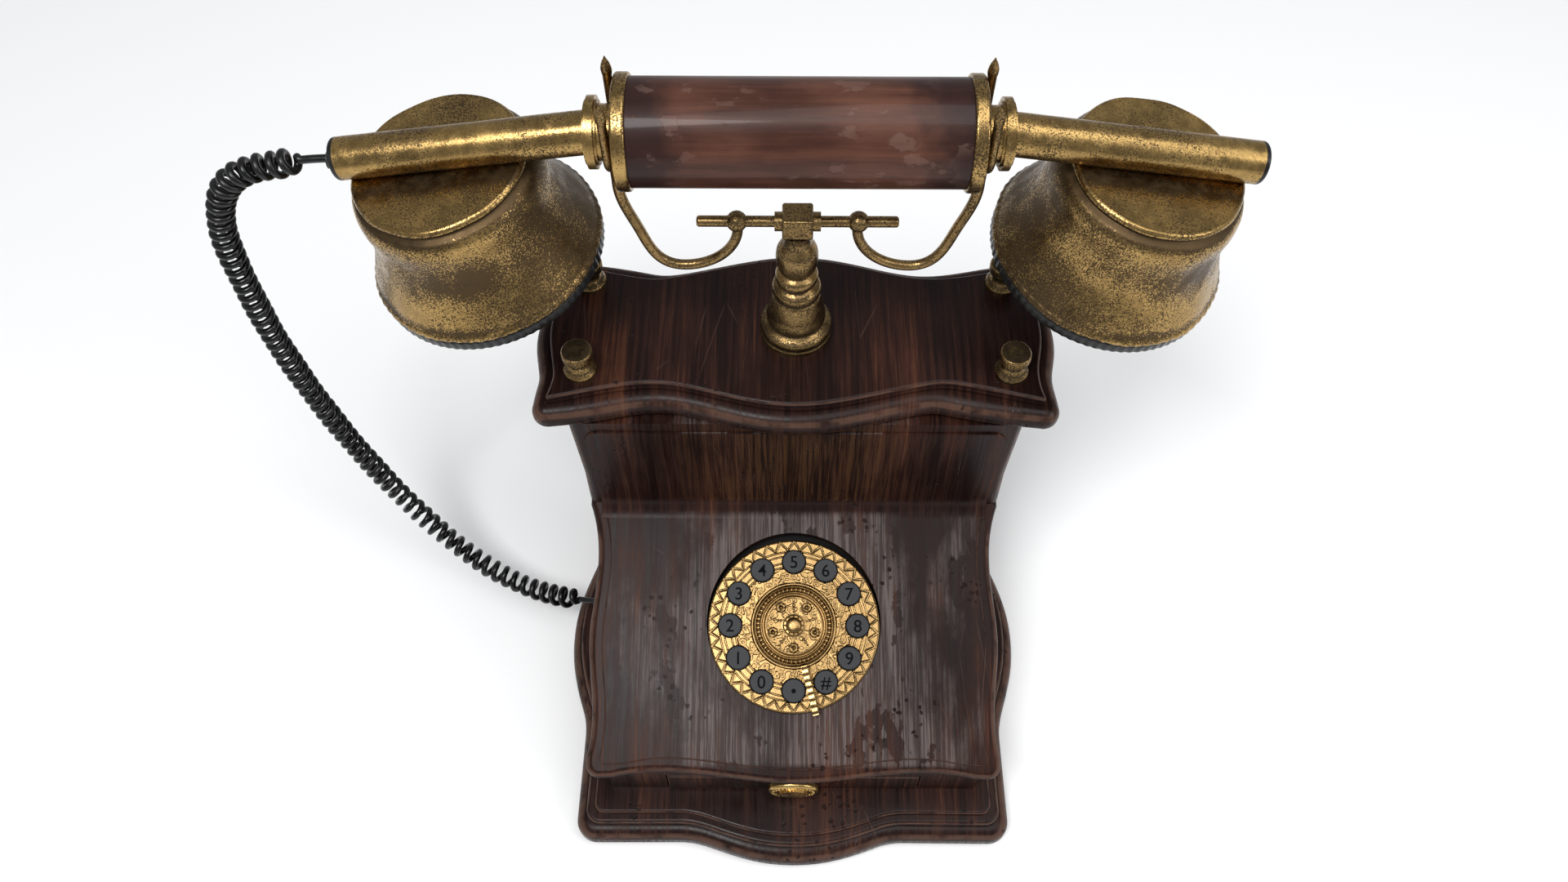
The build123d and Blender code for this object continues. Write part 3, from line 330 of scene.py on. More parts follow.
def lacquered_wood(name, dark, mid, light, rubbed_highlit, roughness, painted_sheen=0.0):
    """Dark stained wood with long grain running back and down, under a worn lacquer, with a painted
    grey sheen on upward faces when a sheen weight is given.
    """
    shader = Shader(name, Coat_Weight=0.05, Coat_Roughness=0.2, Specular_IOR_Level=0.13)
    fine = shader.noise(760.0, shader.stretched((1.0, 0.030, 0.030)), detail=4.0, roughness=0.7)
    bands = shader.noise(120.0, shader.stretched((1.0, 0.08, 0.08)), detail=3.0, distortion=0.3)
    clouds = shader.noise(21.0, detail=4.0)
    figure = shader.math(
        "ADD", shader.math("MULTIPLY", fine, 0.62), shader.math("MULTIPLY", bands, 0.48)
    )
    colour = shader.mix(shader.between(figure, 0.42, 0.66), dark, mid)
    colour = shader.mix(shader.between(figure, 0.58, 0.76), colour, light)
    colour = shader.mix(shader.between(clouds, 0.36, 0.62, 0.72, 0.0), colour, dark)
    edge = rubbed_highlit_edges(shader)
    if painted_sheen:
        spot = shader.node("ShaderNodeSeparateXYZ", {0: shader.coordinates})
        front = shader.between(spot.outputs["Y"], CREASE_Y - 0.012, CREASE_Y - 0.008, 1.0, 0.0)
        above = shader.between(spot.outputs["Z"], CREASE_Z + 0.006, CREASE_Z + 0.010)
        edge = shader.math("MULTIPLY", edge, shader.math("MAXIMUM", above, front))
    # Rounded edges lightened: partly real wear through the stain, partly a painted highlight along
    # the mouldings.
    rub_and_highlight = shader.math("MULTIPLY", edge, shader.between(shader.noise(150.0), 0.25, 0.58))
    colour = shader.mix(shader.math("MULTIPLY", rub_and_highlight, 0.62), colour, rubbed_highlit)
    scratch = shader.math(
        "MAXIMUM", scratches(shader, 62.0, 28.0, 0.010), scratches(shader, 48.0, -64.0, 0.008)
    )
    colour = shader.mix(shader.math("MULTIPLY", scratch, 0.30), colour, rubbed_highlit)
    ripple = shader.node("ShaderNodeTexNoise", {"Vector": shader.coordinates, "Scale": 420.0})
    ripple = shader.node(
        "ShaderNodeVectorMath", {0: ripple.outputs["Color"], 3: 0.0022}, operation="SCALE"
    )
    warped = shader.node(
        "ShaderNodeVectorMath", {0: shader.coordinates, 1: ripple.outputs[0]}, operation="ADD"
    )
    pits = shader.between(shader.cells(300.0, warped.outputs[0]), 0.16, 0.30, 1.0, 0.0)
    pits = shader.math("MULTIPLY", pits, shader.between(shader.noise(38.0, detail=2.0), 0.56, 0.62))
    colour = shader.mix(shader.math("MULTIPLY", pits, 0.8), colour, dark)
    if painted_sheen:
        place = shader.node("ShaderNodeSeparateXYZ", {0: shader.coordinates})
        upward = shader.node("ShaderNodeSeparateXYZ", {0: shader.normal}).outputs["Z"]
        sideways = shader.math("ABSOLUTE", place.outputs["X"], None)
        lit = shader.between(upward, 0.72, 0.93)
        threads = shader.stretched((1.0, 0.02, 0.02))
        threads = shader.noise(1150.0, threads, detail=4.0, roughness=0.75)
        streak = shader.between(threads, 0.46, 0.58)
        broad = shader.noise(27.0, shader.stretched((1.0, 0.45, 0.45)), detail=6.0, roughness=0.6)
        broad = shader.math("ADD", broad, shader.between(sideways, 0.030, 0.070, 0.06, -0.10))
        patch = shader.between(broad, 0.40, 0.58)
        chips = shader.noise(95.0, shader.stretched((1.0, 0.5, 0.5)), detail=5.0, roughness=0.55)
        chipped = shader.between(chips, 0.585, 0.605, 1.0, 0.15)
        # Painted sheen: a grey reflection of the lights, painted on upward-facing panel wood in
        # grain streaks and broad patches, broken where the lacquer is chipped.
        sheen_mask = shader.math("ADD", shader.math("MULTIPLY", streak, 0.75), 0.25)
        sheen_mask = shader.math("MULTIPLY", patch, sheen_mask)
        sheen_mask = shader.math("MULTIPLY", shader.math("MULTIPLY", sheen_mask, chipped), lit)
        sheen_mask = shader.math("MULTIPLY", sheen_mask, shader.math("SUBTRACT", 1.0, pits))
        sheen_mask = shader.math("MULTIPLY", sheen_mask, shader.between(sideways, 0.0695, 0.0725, 1.0, 0.0))
        sheen_mask = shader.math("MULTIPLY", sheen_mask, shader.between(place.outputs["Y"], -0.0680, -0.0655))
        warm = shader.math("MULTIPLY", shader.between(sideways, 0.022, 0.058, 1.0, 0.0), streak)
        warm = shader.math("MULTIPLY", warm, shader.between(upward, 0.10, 0.35, 0.55, 0.0))
        colour = shader.mix(warm, colour, (0.085, 0.038, 0.016))
        # The painted sheen's pale grey colour, mixed over the wood.
        colour = shader.mix(shader.math("MULTIPLY", sheen_mask, painted_sheen), colour, (0.205, 0.170, 0.160))
        shader.use("Specular IOR Level", shader.between(lit, 0.0, 1.0, 0.13, 0.06))
    shader.use("Base Color", colour)
    streaks = shader.math(
        "ADD", shader.math("MULTIPLY", fine, 0.6), shader.math("MULTIPLY", clouds, 0.4)
    )
    gloss = shader.between(streaks, 0.38, 0.62, roughness - 0.08, roughness + 0.18)
    shader.use("Roughness", shader.math("ADD", gloss, shader.math("MULTIPLY", pits, 0.25)))
    shader.bump(fine, 0.00016, 0.5)
    shader.bump(shader.math("MULTIPLY", pits, -1.0), 0.0004, 0.7)
    shader.bump(shader.math("MULTIPLY", scratch, -1.0), 0.0002, 0.6)
    return shader.material


DARK_STAIN = (0.0085, 0.0036, 0.0030)
MID_STAIN = (0.032, 0.0110, 0.0072)
LIGHT_STAIN = (0.075, 0.0270, 0.0130)
# Colour of rubbed wood and scratches, also used as a painted highlight on rounded edges.
RUBBED_HIGHLIT = (0.105, 0.055, 0.037)
STAINS = (DARK_STAIN, MID_STAIN, LIGHT_STAIN, RUBBED_HIGHLIT)
mahogany = lacquered_wood("mahogany", *STAINS, roughness=0.36)
panel_mahogany = lacquered_wood("panel_mahogany", *STAINS, roughness=0.38, painted_sheen=0.46)


def grip_lacquer():
    """Red-brown lacquer, darker towards the end rings, with pale scuffs."""
    shader = Shader("grip_lacquer", Coat_Weight=0.16, Coat_Roughness=0.08, Specular_IOR_Level=0.12)
    position = shader.node("ShaderNodeSeparateXYZ", {0: shader.coordinates}).outputs["X"]
    across = shader.math("ABSOLUTE", position, None)
    wander = shader.math("MULTIPLY", shader.noise(70.0, detail=4.0), 0.030)
    dark_end = shader.between(shader.math("ADD", across, wander), 0.044, 0.060)
    lines = shader.noise(260.0, shader.stretched((0.05, 1.0, 1.0)), detail=4.0, roughness=0.65)
    patch = shader.noise(34.0, shader.stretched((0.6, 1.0, 1.0)), detail=5.0)
    figure = shader.math(
        "ADD", shader.math("MULTIPLY", lines, 0.4), shader.math("MULTIPLY", patch, 0.6)
    )
    figure = shader.between(figure, 0.40, 0.62)
    colour = shader.mix(figure, (0.040, 0.0150, 0.0100), (0.100, 0.0400, 0.0250))
    colour = shader.mix(shader.math("MULTIPLY", dark_end, 0.9), colour, (0.0165, 0.0065, 0.0060))
    flaked = shader.noise(170.0, shader.stretched((0.6, 1.0, 1.0)), detail=7.0)
    flaked = shader.between(flaked, 0.57, 0.62)
    where = shader.between(shader.noise(33.0, detail=2.0), 0.50, 0.60)
    flaked = shader.math("MULTIPLY", flaked, where)
    colour = shader.mix(shader.math("MULTIPLY", flaked, 0.22), colour, (0.21, 0.125, 0.100))
    shader.use("Base Color", colour)
    gloss = shader.between(patch, 0.35, 0.65, 0.26, 0.42)
    shader.use("Roughness", shader.math("ADD", gloss, shader.math("MULTIPLY", flaked, 0.2)))
    shader.bump(flaked, 0.00018, 0.7)
    shader.bump(lines, 0.00008, 0.4)
    return shader.material


grip_wood = grip_lacquer()


# --- materials: metal ---------------------------------------------------------


def brass(name, bright, dull, patina, amount, roughness, speckle=2000.0):
    """Cast and spun brass with brown patina in patches, specks and hollows; downward faces are
    darker, partly patina and partly painted shade, and a per-vertex attribute adds patina and, on
    the cups, a painted shadow.
    """
    shader = Shader(name, Metallic=1.0)
    broad = shader.noise(42.0, detail=5.0, roughness=0.6)
    cloudy = shader.noise(170.0, detail=6.0, roughness=0.7)
    fine = shader.noise(speckle, detail=3.0, roughness=0.7)
    colour = shader.mix(shader.between(cloudy, 0.36, 0.64), dull, bright)
    mask = shader.math("MULTIPLY", broad, 0.66)
    mask = shader.math("ADD", mask, shader.math("MULTIPLY", cloudy, 0.34))
    grime_and_shadow = shader.node("ShaderNodeAttribute", attribute_name="grime_and_shadow").outputs["Fac"]
    mask = shader.math("ADD", mask, shader.math("MULTIPLY", grime_and_shadow, 0.30))
    # Downward faces darker: partly patina, partly painted shade.
    facing = shader.node("ShaderNodeSeparateXYZ", {0: shader.normal}).outputs["Z"]
    mask = shader.math("ADD", mask, shader.between(facing, -0.7, 0.15, 0.10, 0.0))
    grain = shader.between(fine, 0.33, 0.67, -0.17, 0.17)
    mask = shader.math("ADD", mask, grain)
    dirt_and_shade = shader.math("MULTIPLY", shader.between(mask, 0.585 - amount, 0.665 - amount), 0.88)
    shader.use("Base Color", shader.mix(dirt_and_shade, colour, patina))
    worn = shader.between(cloudy, 0.3, 0.7, roughness - 0.08, roughness + 0.12)
    worn = shader.math("ADD", worn, shader.math("MULTIPLY", dirt_and_shade, 0.28), clamp=True)
    shader.use("Roughness", worn)
    shader.bump(cloudy, 0.00030, 0.55)
    shader.bump(fine, 0.00005, 0.35)
    return shader


aged_brass = brass(
    "aged_brass", (0.47, 0.305, 0.110), (0.29, 0.185, 0.068), (0.040, 0.027, 0.019), 0.03, 0.22
).material
dark_brass = brass(
    "dark_brass", (0.36, 0.235, 0.094), (0.21, 0.135, 0.056), (0.042, 0.031, 0.021), 0.075, 0.29
).material


def dial_coordinates(shader):
    """Millimetres in the dial's own plane, from its centre."""
    inputs = {
        "Vector": shader.coordinates,
        "Location": dial_place.translation,
        "Rotation": (SLOPE, 0, 0),
        "Scale": (MM, MM, MM),
    }
    return shader.node("ShaderNodeMapping", inputs, vector_type="TEXTURE").outputs["Vector"]


def engraved_brass(name):
    """Gilt dial brass: fine rings, a rim of triangles and scrollwork, in the dial's own plane, with
    painted shade in the cuts and a painted shadow beside the finger stop.
    """
    gilt, dull, patina = (0.270, 0.172, 0.071), (0.205, 0.128, 0.051), (0.090, 0.055, 0.022)
    shader = brass(name, gilt, dull, patina, -0.11, 0.26)
    local = dial_coordinates(shader)
    parts = shader.node("ShaderNodeSeparateXYZ", {0: local})
    x, y = parts.outputs["X"], parts.outputs["Y"]
    squares = shader.math("ADD", shader.math("MULTIPLY", x, x), shader.math("MULTIPLY", y, y))
    radius = shader.math("SQRT", squares, None)
    bearing = shader.math("ARCTAN2", y, x)

    def saw(count, start=0.0):
        """Distance from the middle of the nearest of so many equal sectors, as a share of one."""
        turn = shader.math("MULTIPLY", shader.math("SUBTRACT", bearing, start), count / tau)
        share = shader.math("FRACT", shader.math("ADD", turn, 0.5), None)
        return shader.math("SUBTRACT", share, 0.5)

    def band(value, start, full, fading, end):
        """1 between full and fading, 0 before start and after end."""
        rising = shader.between(value, start, full)
        return shader.math("MULTIPLY", rising, shader.between(value, fading, end, 1.0, 0.0))

    tooth = shader.math("ABSOLUTE", saw(RIM_TEETH), None)
    reach = shader.math("ADD", shader.math("MULTIPLY", tooth, 6.4), 28.9)
    line = shader.math("ABSOLUTE", shader.math("SUBTRACT", radius, reach), None)
    rim = band(radius, 28.4, 28.7, 31.8, 32.1)
    zigzag = shader.math("MULTIPLY", shader.between(line, 0.15, 0.62, 1.0, 0.0), rim)
    facet = shader.between(shader.math("SUBTRACT", radius, reach), -1.6, 0.0)
    facet = shader.math("MULTIPLY", facet, rim)
    groove = shader.between(
        shader.math("ABSOLUTE", shader.math("SUBTRACT", radius, 15.7), None), 0.1, 0.7, 1.0, 0.0
    )
    for ring in RING_RADII:
        off = shader.math("ABSOLUTE", shader.math("SUBTRACT", radius, ring), None)
        groove = shader.math("MAXIMUM", groove, shader.between(off, 0.10, 0.42, 1.0, 0.0))
    curls = shader.cells(0.42, local, "SMOOTH_F1")
    scroll = shader.math("SINE", shader.math("MULTIPLY", curls, 15.0), None)
    zone = band(radius, 16.0, 16.6, 21.6, 22.0)
    zone = shader.math("MAXIMUM", zone, band(radius, 4.2, 4.6, 10.0, 10.6))
    scroll = shader.math("MULTIPLY", shader.between(scroll, -0.3, 0.8), zone)
    fold = shader.math("MULTIPLY", saw(ROSETTES, ROSETTE_START), tau / ROSETTES)
    flower_x = shader.math("MULTIPLY", radius, shader.math("COSINE", fold, None))
    flower_x = shader.math("SUBTRACT", flower_x, ROSETTE_CIRCLE)
    flower_x = shader.math("MULTIPLY", flower_x, flower_x)
    flower_y = shader.math("MULTIPLY", radius, shader.math("SINE", fold, None))
    flower_y = shader.math("MULTIPLY", flower_y, flower_y)
    flower = shader.math("SQRT", shader.math("ADD", flower_x, flower_y), None)
    flower = shader.math("SUBTRACT", flower, 1.25)
    socket = shader.between(shader.math("ABSOLUTE", flower, None), 0.25, 0.75, 1.0, 0.0)
    cut = shader.math("MAXIMUM", shader.math("MAXIMUM", groove, zigzag), socket)
    height = shader.math("SUBTRACT", shader.math("MULTIPLY", scroll, 0.7), cut)
    height = shader.math("ADD", height, facet)
    shader.bump(height, 0.0005, 0.7)
    # Painted shade: the low parts of the scrollwork, the engraved cuts and the rosette sockets are
    # darkened.
    shade = shader.math("MULTIPLY", shader.between(scroll, 0.0, 0.5, 1.0, 0.0), zone)
    shade = shader.math("MULTIPLY", shade, 0.28)
    shade = shader.math("MAXIMUM", shade, shader.math("MULTIPLY", cut, 0.16))
    shade = shader.math("MAXIMUM", shade, shader.math("MULTIPLY", socket, 0.6))
    # Painted shadow: a dark strip on the plate beside the finger stop, below the hub.
    across = shader.math("MULTIPLY", x, cos(STOP_TURN))
    across = shader.math("ADD", across, shader.math("MULTIPLY", y, sin(STOP_TURN)))
    stop_shadow_strip = band(across, 0.9, 1.3, 2.2, 2.9)
    below = shader.between(y, -14.5, -15.5)
    below = shader.math("MULTIPLY", below, shader.between(radius, 15.4, 16.0))
    shadow = shader.math("MULTIPLY", shader.math("MULTIPLY", stop_shadow_strip, below), 0.9)
    shade = shader.math("MAXIMUM", shade, shadow)
    base = shader.surface.inputs["Base Color"].links[0].from_socket
    shader.use("Base Color", shader.mix(shade, base, (0.085, 0.048, 0.016)))
    return shader.material


dial_brass = engraved_brass("dial_brass")
bright_brass = brass(
    "bright_brass", (0.62, 0.42, 0.16), (0.40, 0.26, 0.095), (0.09, 0.055, 0.022), -0.03, 0.24
).material


relief_brass = brass(
    "relief_brass", (0.40, 0.265, 0.110), (0.28, 0.180, 0.072), (0.10, 0.06, 0.024), -0.06, 0.20
).material


def ribbed_brass(name):
    """Bright ribs across the finger stop, partly real polish and partly a painted highlight, with
    painted shade between them.
    """
    shader = brass(name, (0.80, 0.56, 0.24), (0.62, 0.42, 0.17), (0.30, 0.19, 0.07), -0.10, 0.20)
    parts = shader.node("ShaderNodeSeparateXYZ", {0: dial_coordinates(shader)})
    along = shader.math(
        "SUBTRACT",
        shader.math("MULTIPLY", parts.outputs["X"], sin(STOP_TURN)),
        shader.math("MULTIPLY", parts.outputs["Y"], cos(STOP_TURN)),
    )
    turn = shader.math("DIVIDE", shader.math("SUBTRACT", along, STOP_FIRST_RIB), STOP_RIB_STEP)
    share = shader.math("FRACT", shader.math("ADD", turn, 10.5), None)
    off = shader.math("ABSOLUTE", shader.math("SUBTRACT", share, 0.5), None)
    # Painted shade: dark bands between the ribs.
    gap = shader.between(off, 0.25, 0.31)
    base = shader.surface.inputs["Base Color"].links[0].from_socket
    shader.use("Base Color", shader.mix(gap, base, (0.030, 0.018, 0.008)))
    return shader.material


stop_brass = ribbed_brass("stop_brass")


def metal(name, colour, roughness):
    """Plain metal with fine brush marks."""
    shader = Shader(name, Metallic=1.0)
    lines = shader.noise(600.0, shader.stretched((1.0, 0.06, 1.0)), detail=3.0)
    dark = tuple(0.72 * part for part in colour)
    shader.use("Base Color", shader.mix(shader.between(lines, 0.35, 0.65), dark, colour))
    shader.use("Roughness", shader.between(lines, 0.3, 0.7, roughness, roughness + 0.15))
    shader.bump(lines, 0.00004, 0.4)
    return shader.material


steel = metal("zinc_steel", (0.56, 0.56, 0.57), 0.32)
capsule_metal = metal("capsule_metal", (0.62, 0.62, 0.63), 0.30)


# --- materials: plastic, rubber, felt -----------------------------------------


def plastic(name, colour, lighter, roughness, grain=700.0, relief=0.00004, **settings):
    """A plain material, mottled between two colours, with a fine grain."""
    shader = Shader(name, **settings)
    mottle = shader.noise(90.0, detail=4.0)
    fine = shader.noise(grain, detail=3.0)
    shader.use("Base Color", shader.mix(shader.between(mottle, 0.35, 0.68), colour, lighter))
    shader.use("Roughness", shader.between(mottle, 0.3, 0.7, roughness - 0.05, roughness + 0.10))
    shader.bump(fine, relief, 0.5)
    return shader.material


slate = plastic(
    "slate_button", (0.024, 0.025, 0.027), (0.036, 0.037, 0.040), 0.5, Specular_IOR_Level=0.2
)
digit_ink = plastic(
    "digit_ink", (0.002, 0.002, 0.002), (0.003, 0.003, 0.003), 0.6, Specular_IOR_Level=0.05
)
black_gloss = plastic(
    "black_gloss", (0.006, 0.006, 0.006), (0.014, 0.014, 0.014), 0.24, Specular_IOR_Level=0.3
)
black_rubber = plastic(
    "black_rubber", (0.010, 0.010, 0.010), (0.020, 0.019, 0.018), 0.55, relief=0.00008
)
cord_black = plastic(
    "cord_black",
    (0.003, 0.003, 0.003),
    (0.006, 0.006, 0.006),
    0.22,
    relief=0.00002,
    Specular_IOR_Level=0.35,
)
black_matte = plastic(
    "black_matte", (0.005, 0.004, 0.004), (0.010, 0.008, 0.008), 0.6, Specular_IOR_Level=0.1
)
felt = plastic(
    "green_felt",
    (0.014, 0.042, 0.022),
    (0.028, 0.070, 0.038),
    0.92,
    grain=1800.0,
    relief=0.0004,
    Sheen_Weight=0.4,
)
copper = plastic("copper_winding", (0.22, 0.060, 0.020), (0.42, 0.14, 0.05), 0.30, Metallic=0.6)
circuit_green = plastic("circuit_green", (0.010, 0.075, 0.030), (0.020, 0.110, 0.048), 0.35)

# --- curly cord ---------------------------------------------------------------

WIRE_RADIUS = 0.00125
COIL_OFFSET = 0.00325
PITCH_TOP = 0.0043
PITCH_BOTTOM = 0.0049
LEAD_TOP = 0.0075
LEAD_BOTTOM = 0.017
SWELL_LENGTH = 0.005
LAST_GAP = 0.0001
route_points = [
    (-0.1396, 0.0581, 0.2306),
    (-0.1475, 0.0581, 0.2303),
    (-0.1545, 0.0581, 0.2279),
    (-0.1615, 0.0581, 0.2270),
    (-0.1705, 0.0581, 0.2230),
    (-0.1770, 0.0581, 0.2155),
    (-0.1815, 0.0581, 0.2050),
    (-0.1848, 0.0581, 0.1915),
    (-0.1868, 0.0580, 0.1523),
    (-0.1854, 0.0572, 0.1275),
    (-0.1814, 0.0550, 0.1009),
    (-0.1747, 0.0516, 0.0745),
    (-0.1649, 0.0468, 0.0491),
    (-0.1515, 0.0390, 0.0315),
    (-0.1372, 0.0303, 0.0230),
    (-0.1259, 0.0242, 0.0198),
    (-0.1132, 0.0182, 0.0190),
    (-0.1027, 0.0141, 0.0208),
    (-0.0934, 0.0110, 0.0234),
    (-0.0795, 0.0074, 0.0276),
    (-0.0722, 0.0074, 0.0276),
]


def nurbs_line(points, resolution=24):
    """Points along the smooth NURBS curve that a list of control points makes."""
    curve = bpy.data.curves.new("route", "CURVE")
    curve.dimensions = "3D"
    curve.resolution_u = resolution
    spline = curve.splines.new("NURBS")
    spline.points.add(len(points) - 1)
    for control, point in zip(spline.points, points):
        control.co = (*point, 1.0)
    spline.order_u = 3
    spline.use_endpoint_u = True
    carrier = placed("route", curve)
    mesh = bpy.data.meshes.new_from_object(carrier)
    line = [vertex.co.copy() for vertex in mesh.vertices]
    bpy.data.meshes.remove(mesh)
    bpy.data.objects.remove(carrier)
    bpy.data.curves.remove(curve)
    return line


def coiled(line, straight_start, straight_end, steps_per_turn=22):
    """A helix round a line, straight over a length at each end."""
    lengths = [0.0]
    for before, after in zip(line, line[1:]):
        lengths.append(lengths[-1] + (after - before).length)
    total = lengths[-1]
    coil_length = total - straight_start - straight_end
    path = []
    along, phase, index = 0.0, 0.0, 0
    side = Vector((0, 0, 1))
    while along < total - LAST_GAP:
        while lengths[index + 1] < along:
            index += 1
        part = (along - lengths[index]) / (lengths[index + 1] - lengths[index])
        centre = line[index].lerp(line[index + 1], part)
        tangent = (line[index + 1] - line[index]).normalized()
        side = (side - tangent * side.dot(tangent)).normalized()
        into = (along - straight_start) / SWELL_LENGTH
        left = (total - straight_end - along) / SWELL_LENGTH
        swell = max(0.0, min(1.0, into, left))
        swell = swell * swell * (3 - 2 * swell)
        spread = COIL_OFFSET * swell * (1 + 0.03 * sin(phase / 7.0))
        offset = side * cos(phase) + tangent.cross(side) * sin(phase)
        path.append(centre + offset * spread)
        share = min(max((along - straight_start) / coil_length, 0.0), 1.0)
        pitch = PITCH_TOP + (PITCH_BOTTOM - PITCH_TOP) * share
        along += pitch / steps_per_turn
        phase += tau / steps_per_turn
    path.append(line[-1])
    return path


cord_path = coiled(nurbs_line(route_points), LEAD_TOP, LEAD_BOTTOM)
curly_cord = add_mesh("curly_cord", *tube_data(cord_path, WIRE_RADIUS, 10), cord_black, None)
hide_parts("cord_coil", "cord_lead_base", "cord_lead_handset")
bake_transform(curly_cord)

# --- turned brass: column and lid knobs ---------------------------------------

COLUMN_SEGMENTS = 96
FINIAL_SEGMENTS = 112
column_place = Matrix.Translation((0, LID_Y, LID_TOP))
column_profile = smooth_profile([
    (12.7, 0.0), (12.7, 0.0), (12.7, 1.4), (12.2, 2.4), (12.6, 3.6), (12.5, 4.6), (11.9, 5.6),
    (10.4, 6.7), (9.7, 7.6), (10.2, 8.6), (10.2, 10.0), (9.5, 13.0), (8.7, 17.0), (8.1, 19.4),
    (7.4, 20.4), (7.4, 20.8), (8.1, 21.5), (8.3, 22.9), (8.1, 24.3), (7.3, 25.3), (6.0, 26.3),
    (6.1, 26.9), (6.9, 27.9), (7.2, 29.4), (6.8, 31.0), (5.3, 32.3), (5.3, 32.6), (6.5, 34.8),
    (7.0, 38.6), (6.6, 42.4), (5.1, 45.2), (4.8, 45.8), (4.4, 48.0), (4.6, 50.4), (4.6, 50.6),
    (3.1, 50.6), (3.1, 50.6),
])
column = add_mesh(
    "turned_column",
    *lathe_data(column_profile, column_place, COLUMN_SEGMENTS),
    dark_brass,
    "base",
    hollows(column_profile, COLUMN_SEGMENTS),
)
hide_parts("column")

finial_low, finial_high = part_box("corner_finials")
finial_radius = 5.9 * MM
finial_profile = smooth_profile([
    (0.0, 0.0), (5.8, 0.0), (5.8, 0.0), (5.85, 1.1), (5.4, 1.9), (5.0, 2.6), (4.1, 4.0),
    (3.8, 5.4), (4.2, 6.8), (5.1, 7.6), (5.1, 7.6), (5.35, 8.0), (5.35, 10.2), (5.35, 10.4),
    (4.9, 11.1), (4.4, 11.2), (2.5, 11.25), (0.0, 11.3),
])


def knurled_head(radius, height, angle):
    """Fine knurling round the head of a lid knob."""
    if 7.7 < height < 10.5 and radius > 4.6:
        return radius - 0.16 * (0.5 + 0.5 * cos(28 * angle)), height
    return radius, height


finial_places = [
    Matrix.Translation((x, y, LID_TOP))
    for x in (finial_low[0] + finial_radius, finial_high[0] - finial_radius)
    for y in (finial_low[1] + finial_radius, finial_high[1] - finial_radius)
]
finial_pieces = [
    lathe_data(finial_profile, place, FINIAL_SEGMENTS, knurled_head) for place in finial_places
]
finials = add_mesh(
    "lid_knobs",
    *joined(finial_pieces),
    dark_brass,
    "base",
    len(finial_places) * hollows(finial_profile, FINIAL_SEGMENTS),
)
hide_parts("corner_finials")

# --- handset cups and ear caps ------------------------------------------------

CUP_PLACE = (0.1075, 0.0586, 0.2292)
LEAN_IN = radians(9.4)
LEAN_FRONT = radians(3.5)
CUP_SEGMENTS = 360
CAP_SEGMENTS = 336
cup_profile = smooth_profile([
    (0.0, 0.0), (14.0, 0.0), (25.6, -0.05), (26.3, 0.0), (26.9, -0.25), (27.4, -0.8), (27.6, -1.5),
    (27.2, -2.2), (26.8, -2.7), (26.8, -3.2), (27.6, -3.7), (28.8, -4.5), (29.9, -6.4),
    (30.4, -9.0), (30.35, -12.0), (30.25, -15.5), (30.8, -20.0), (31.9, -24.5), (33.6, -28.9),
    (35.4, -32.8), (36.9, -36.0), (37.7, -38.0), (38.3, -38.8), (38.7, -39.6), (38.7, -40.4),
    (38.1, -40.9), (37.4, -40.9), (36.8, -40.0), (36.6, -39.0),
], 4)
ear_profile = smooth_profile([
    (35.6, -38.8), (35.9, -40.0), (36.2, -41.0), (36.2, -41.0), (37.6, -41.1), (38.1, -41.5),
    (38.2, -42.2), (38.2, -44.0), (37.9, -45.0), (36.8, -45.7), (36.0, -45.75), (33.0, -45.4),
    (28.0, -44.2), (20.0, -42.4), (10.0, -41.7), (0.0, -41.4),
], 3)


def beaten(hand):
    """Slightly dented, hand-beaten cup: soft waves on the wall and a milled rim on the disc."""

    def shape(radius, height, angle):
        where = Vector((cos(angle) * 1.6, sin(angle) * 1.6, height * 0.05 + hand * 7.3))
        dent = 0.45 * noise.noise(where * 1.7) if radius > 20 else 0.0
        milled = 0.03 * cos(90 * angle) if height > -2.0 and radius > 27.0 else 0.0
        rim = 0.12 * cos(64 * angle) if height < -38.5 and radius > 38.0 else 0.0
        grown = min(radius + dent - 0.3, 38.75) if radius > 20 else radius
        return grown + milled + rim, height

    return shape


def bell(value, centre, width):
    """1 at the centre and a half at one width from it."""
    return 2 ** -(((value - centre) / width) ** 2)


def cup_patina_and_shadow(hand, place):
    """Patina on a cup below the disc, round the waist, at the rim and by the grip, and a painted
    shadow on the disc in front of the tube.
    """
    values = []
    for r, z in cup_profile:
        wall = 1.0 if r > 25 else 0.0
        groove = 1.2 * bell(z, -3.4, 1.3) * wall
        rim = 0.7 * bell(z, -37.4, 1.1) * wall
        clean = -0.35 if z > -1.5 else 0.0
        for segment in range(CUP_SEGMENTS):
            angle = tau * segment / CUP_SEGMENTS
            x, y = r * cos(angle), r * sin(angle)
            patch = noise.noise(Vector((x * 0.05, y * 0.05, z * 0.05 + hand * 3.1)))
            waist = (0.45 + 0.9 * patch) * bell(z, -21.0, 6.5) * wall
            spot = place @ Vector((x * MM, y * MM, z * MM)) - place.translation
            # Painted shadow: a dark strip on the disc just in front of the handset tube.
            tube = 0.9 * bell(spot.y / MM, -9.0, 2.6) if z > -0.5 else 0.0
            inner = min(0.75, max(0.0, -hand * spot.x / MM - 8.0) * 0.05) if z < -1.5 else 0.0
            values.append(max(groove, waist, rim, tube, inner, clean))
    return values


def ribbed_cap(radius, height, angle):
    """Finger ribs round the edge of an ear cap."""
    if radius > 37.0 and height < -41.2:
        return radius - 0.28 * (0.5 + 0.5 * cos(84 * angle)), height
    return radius, height


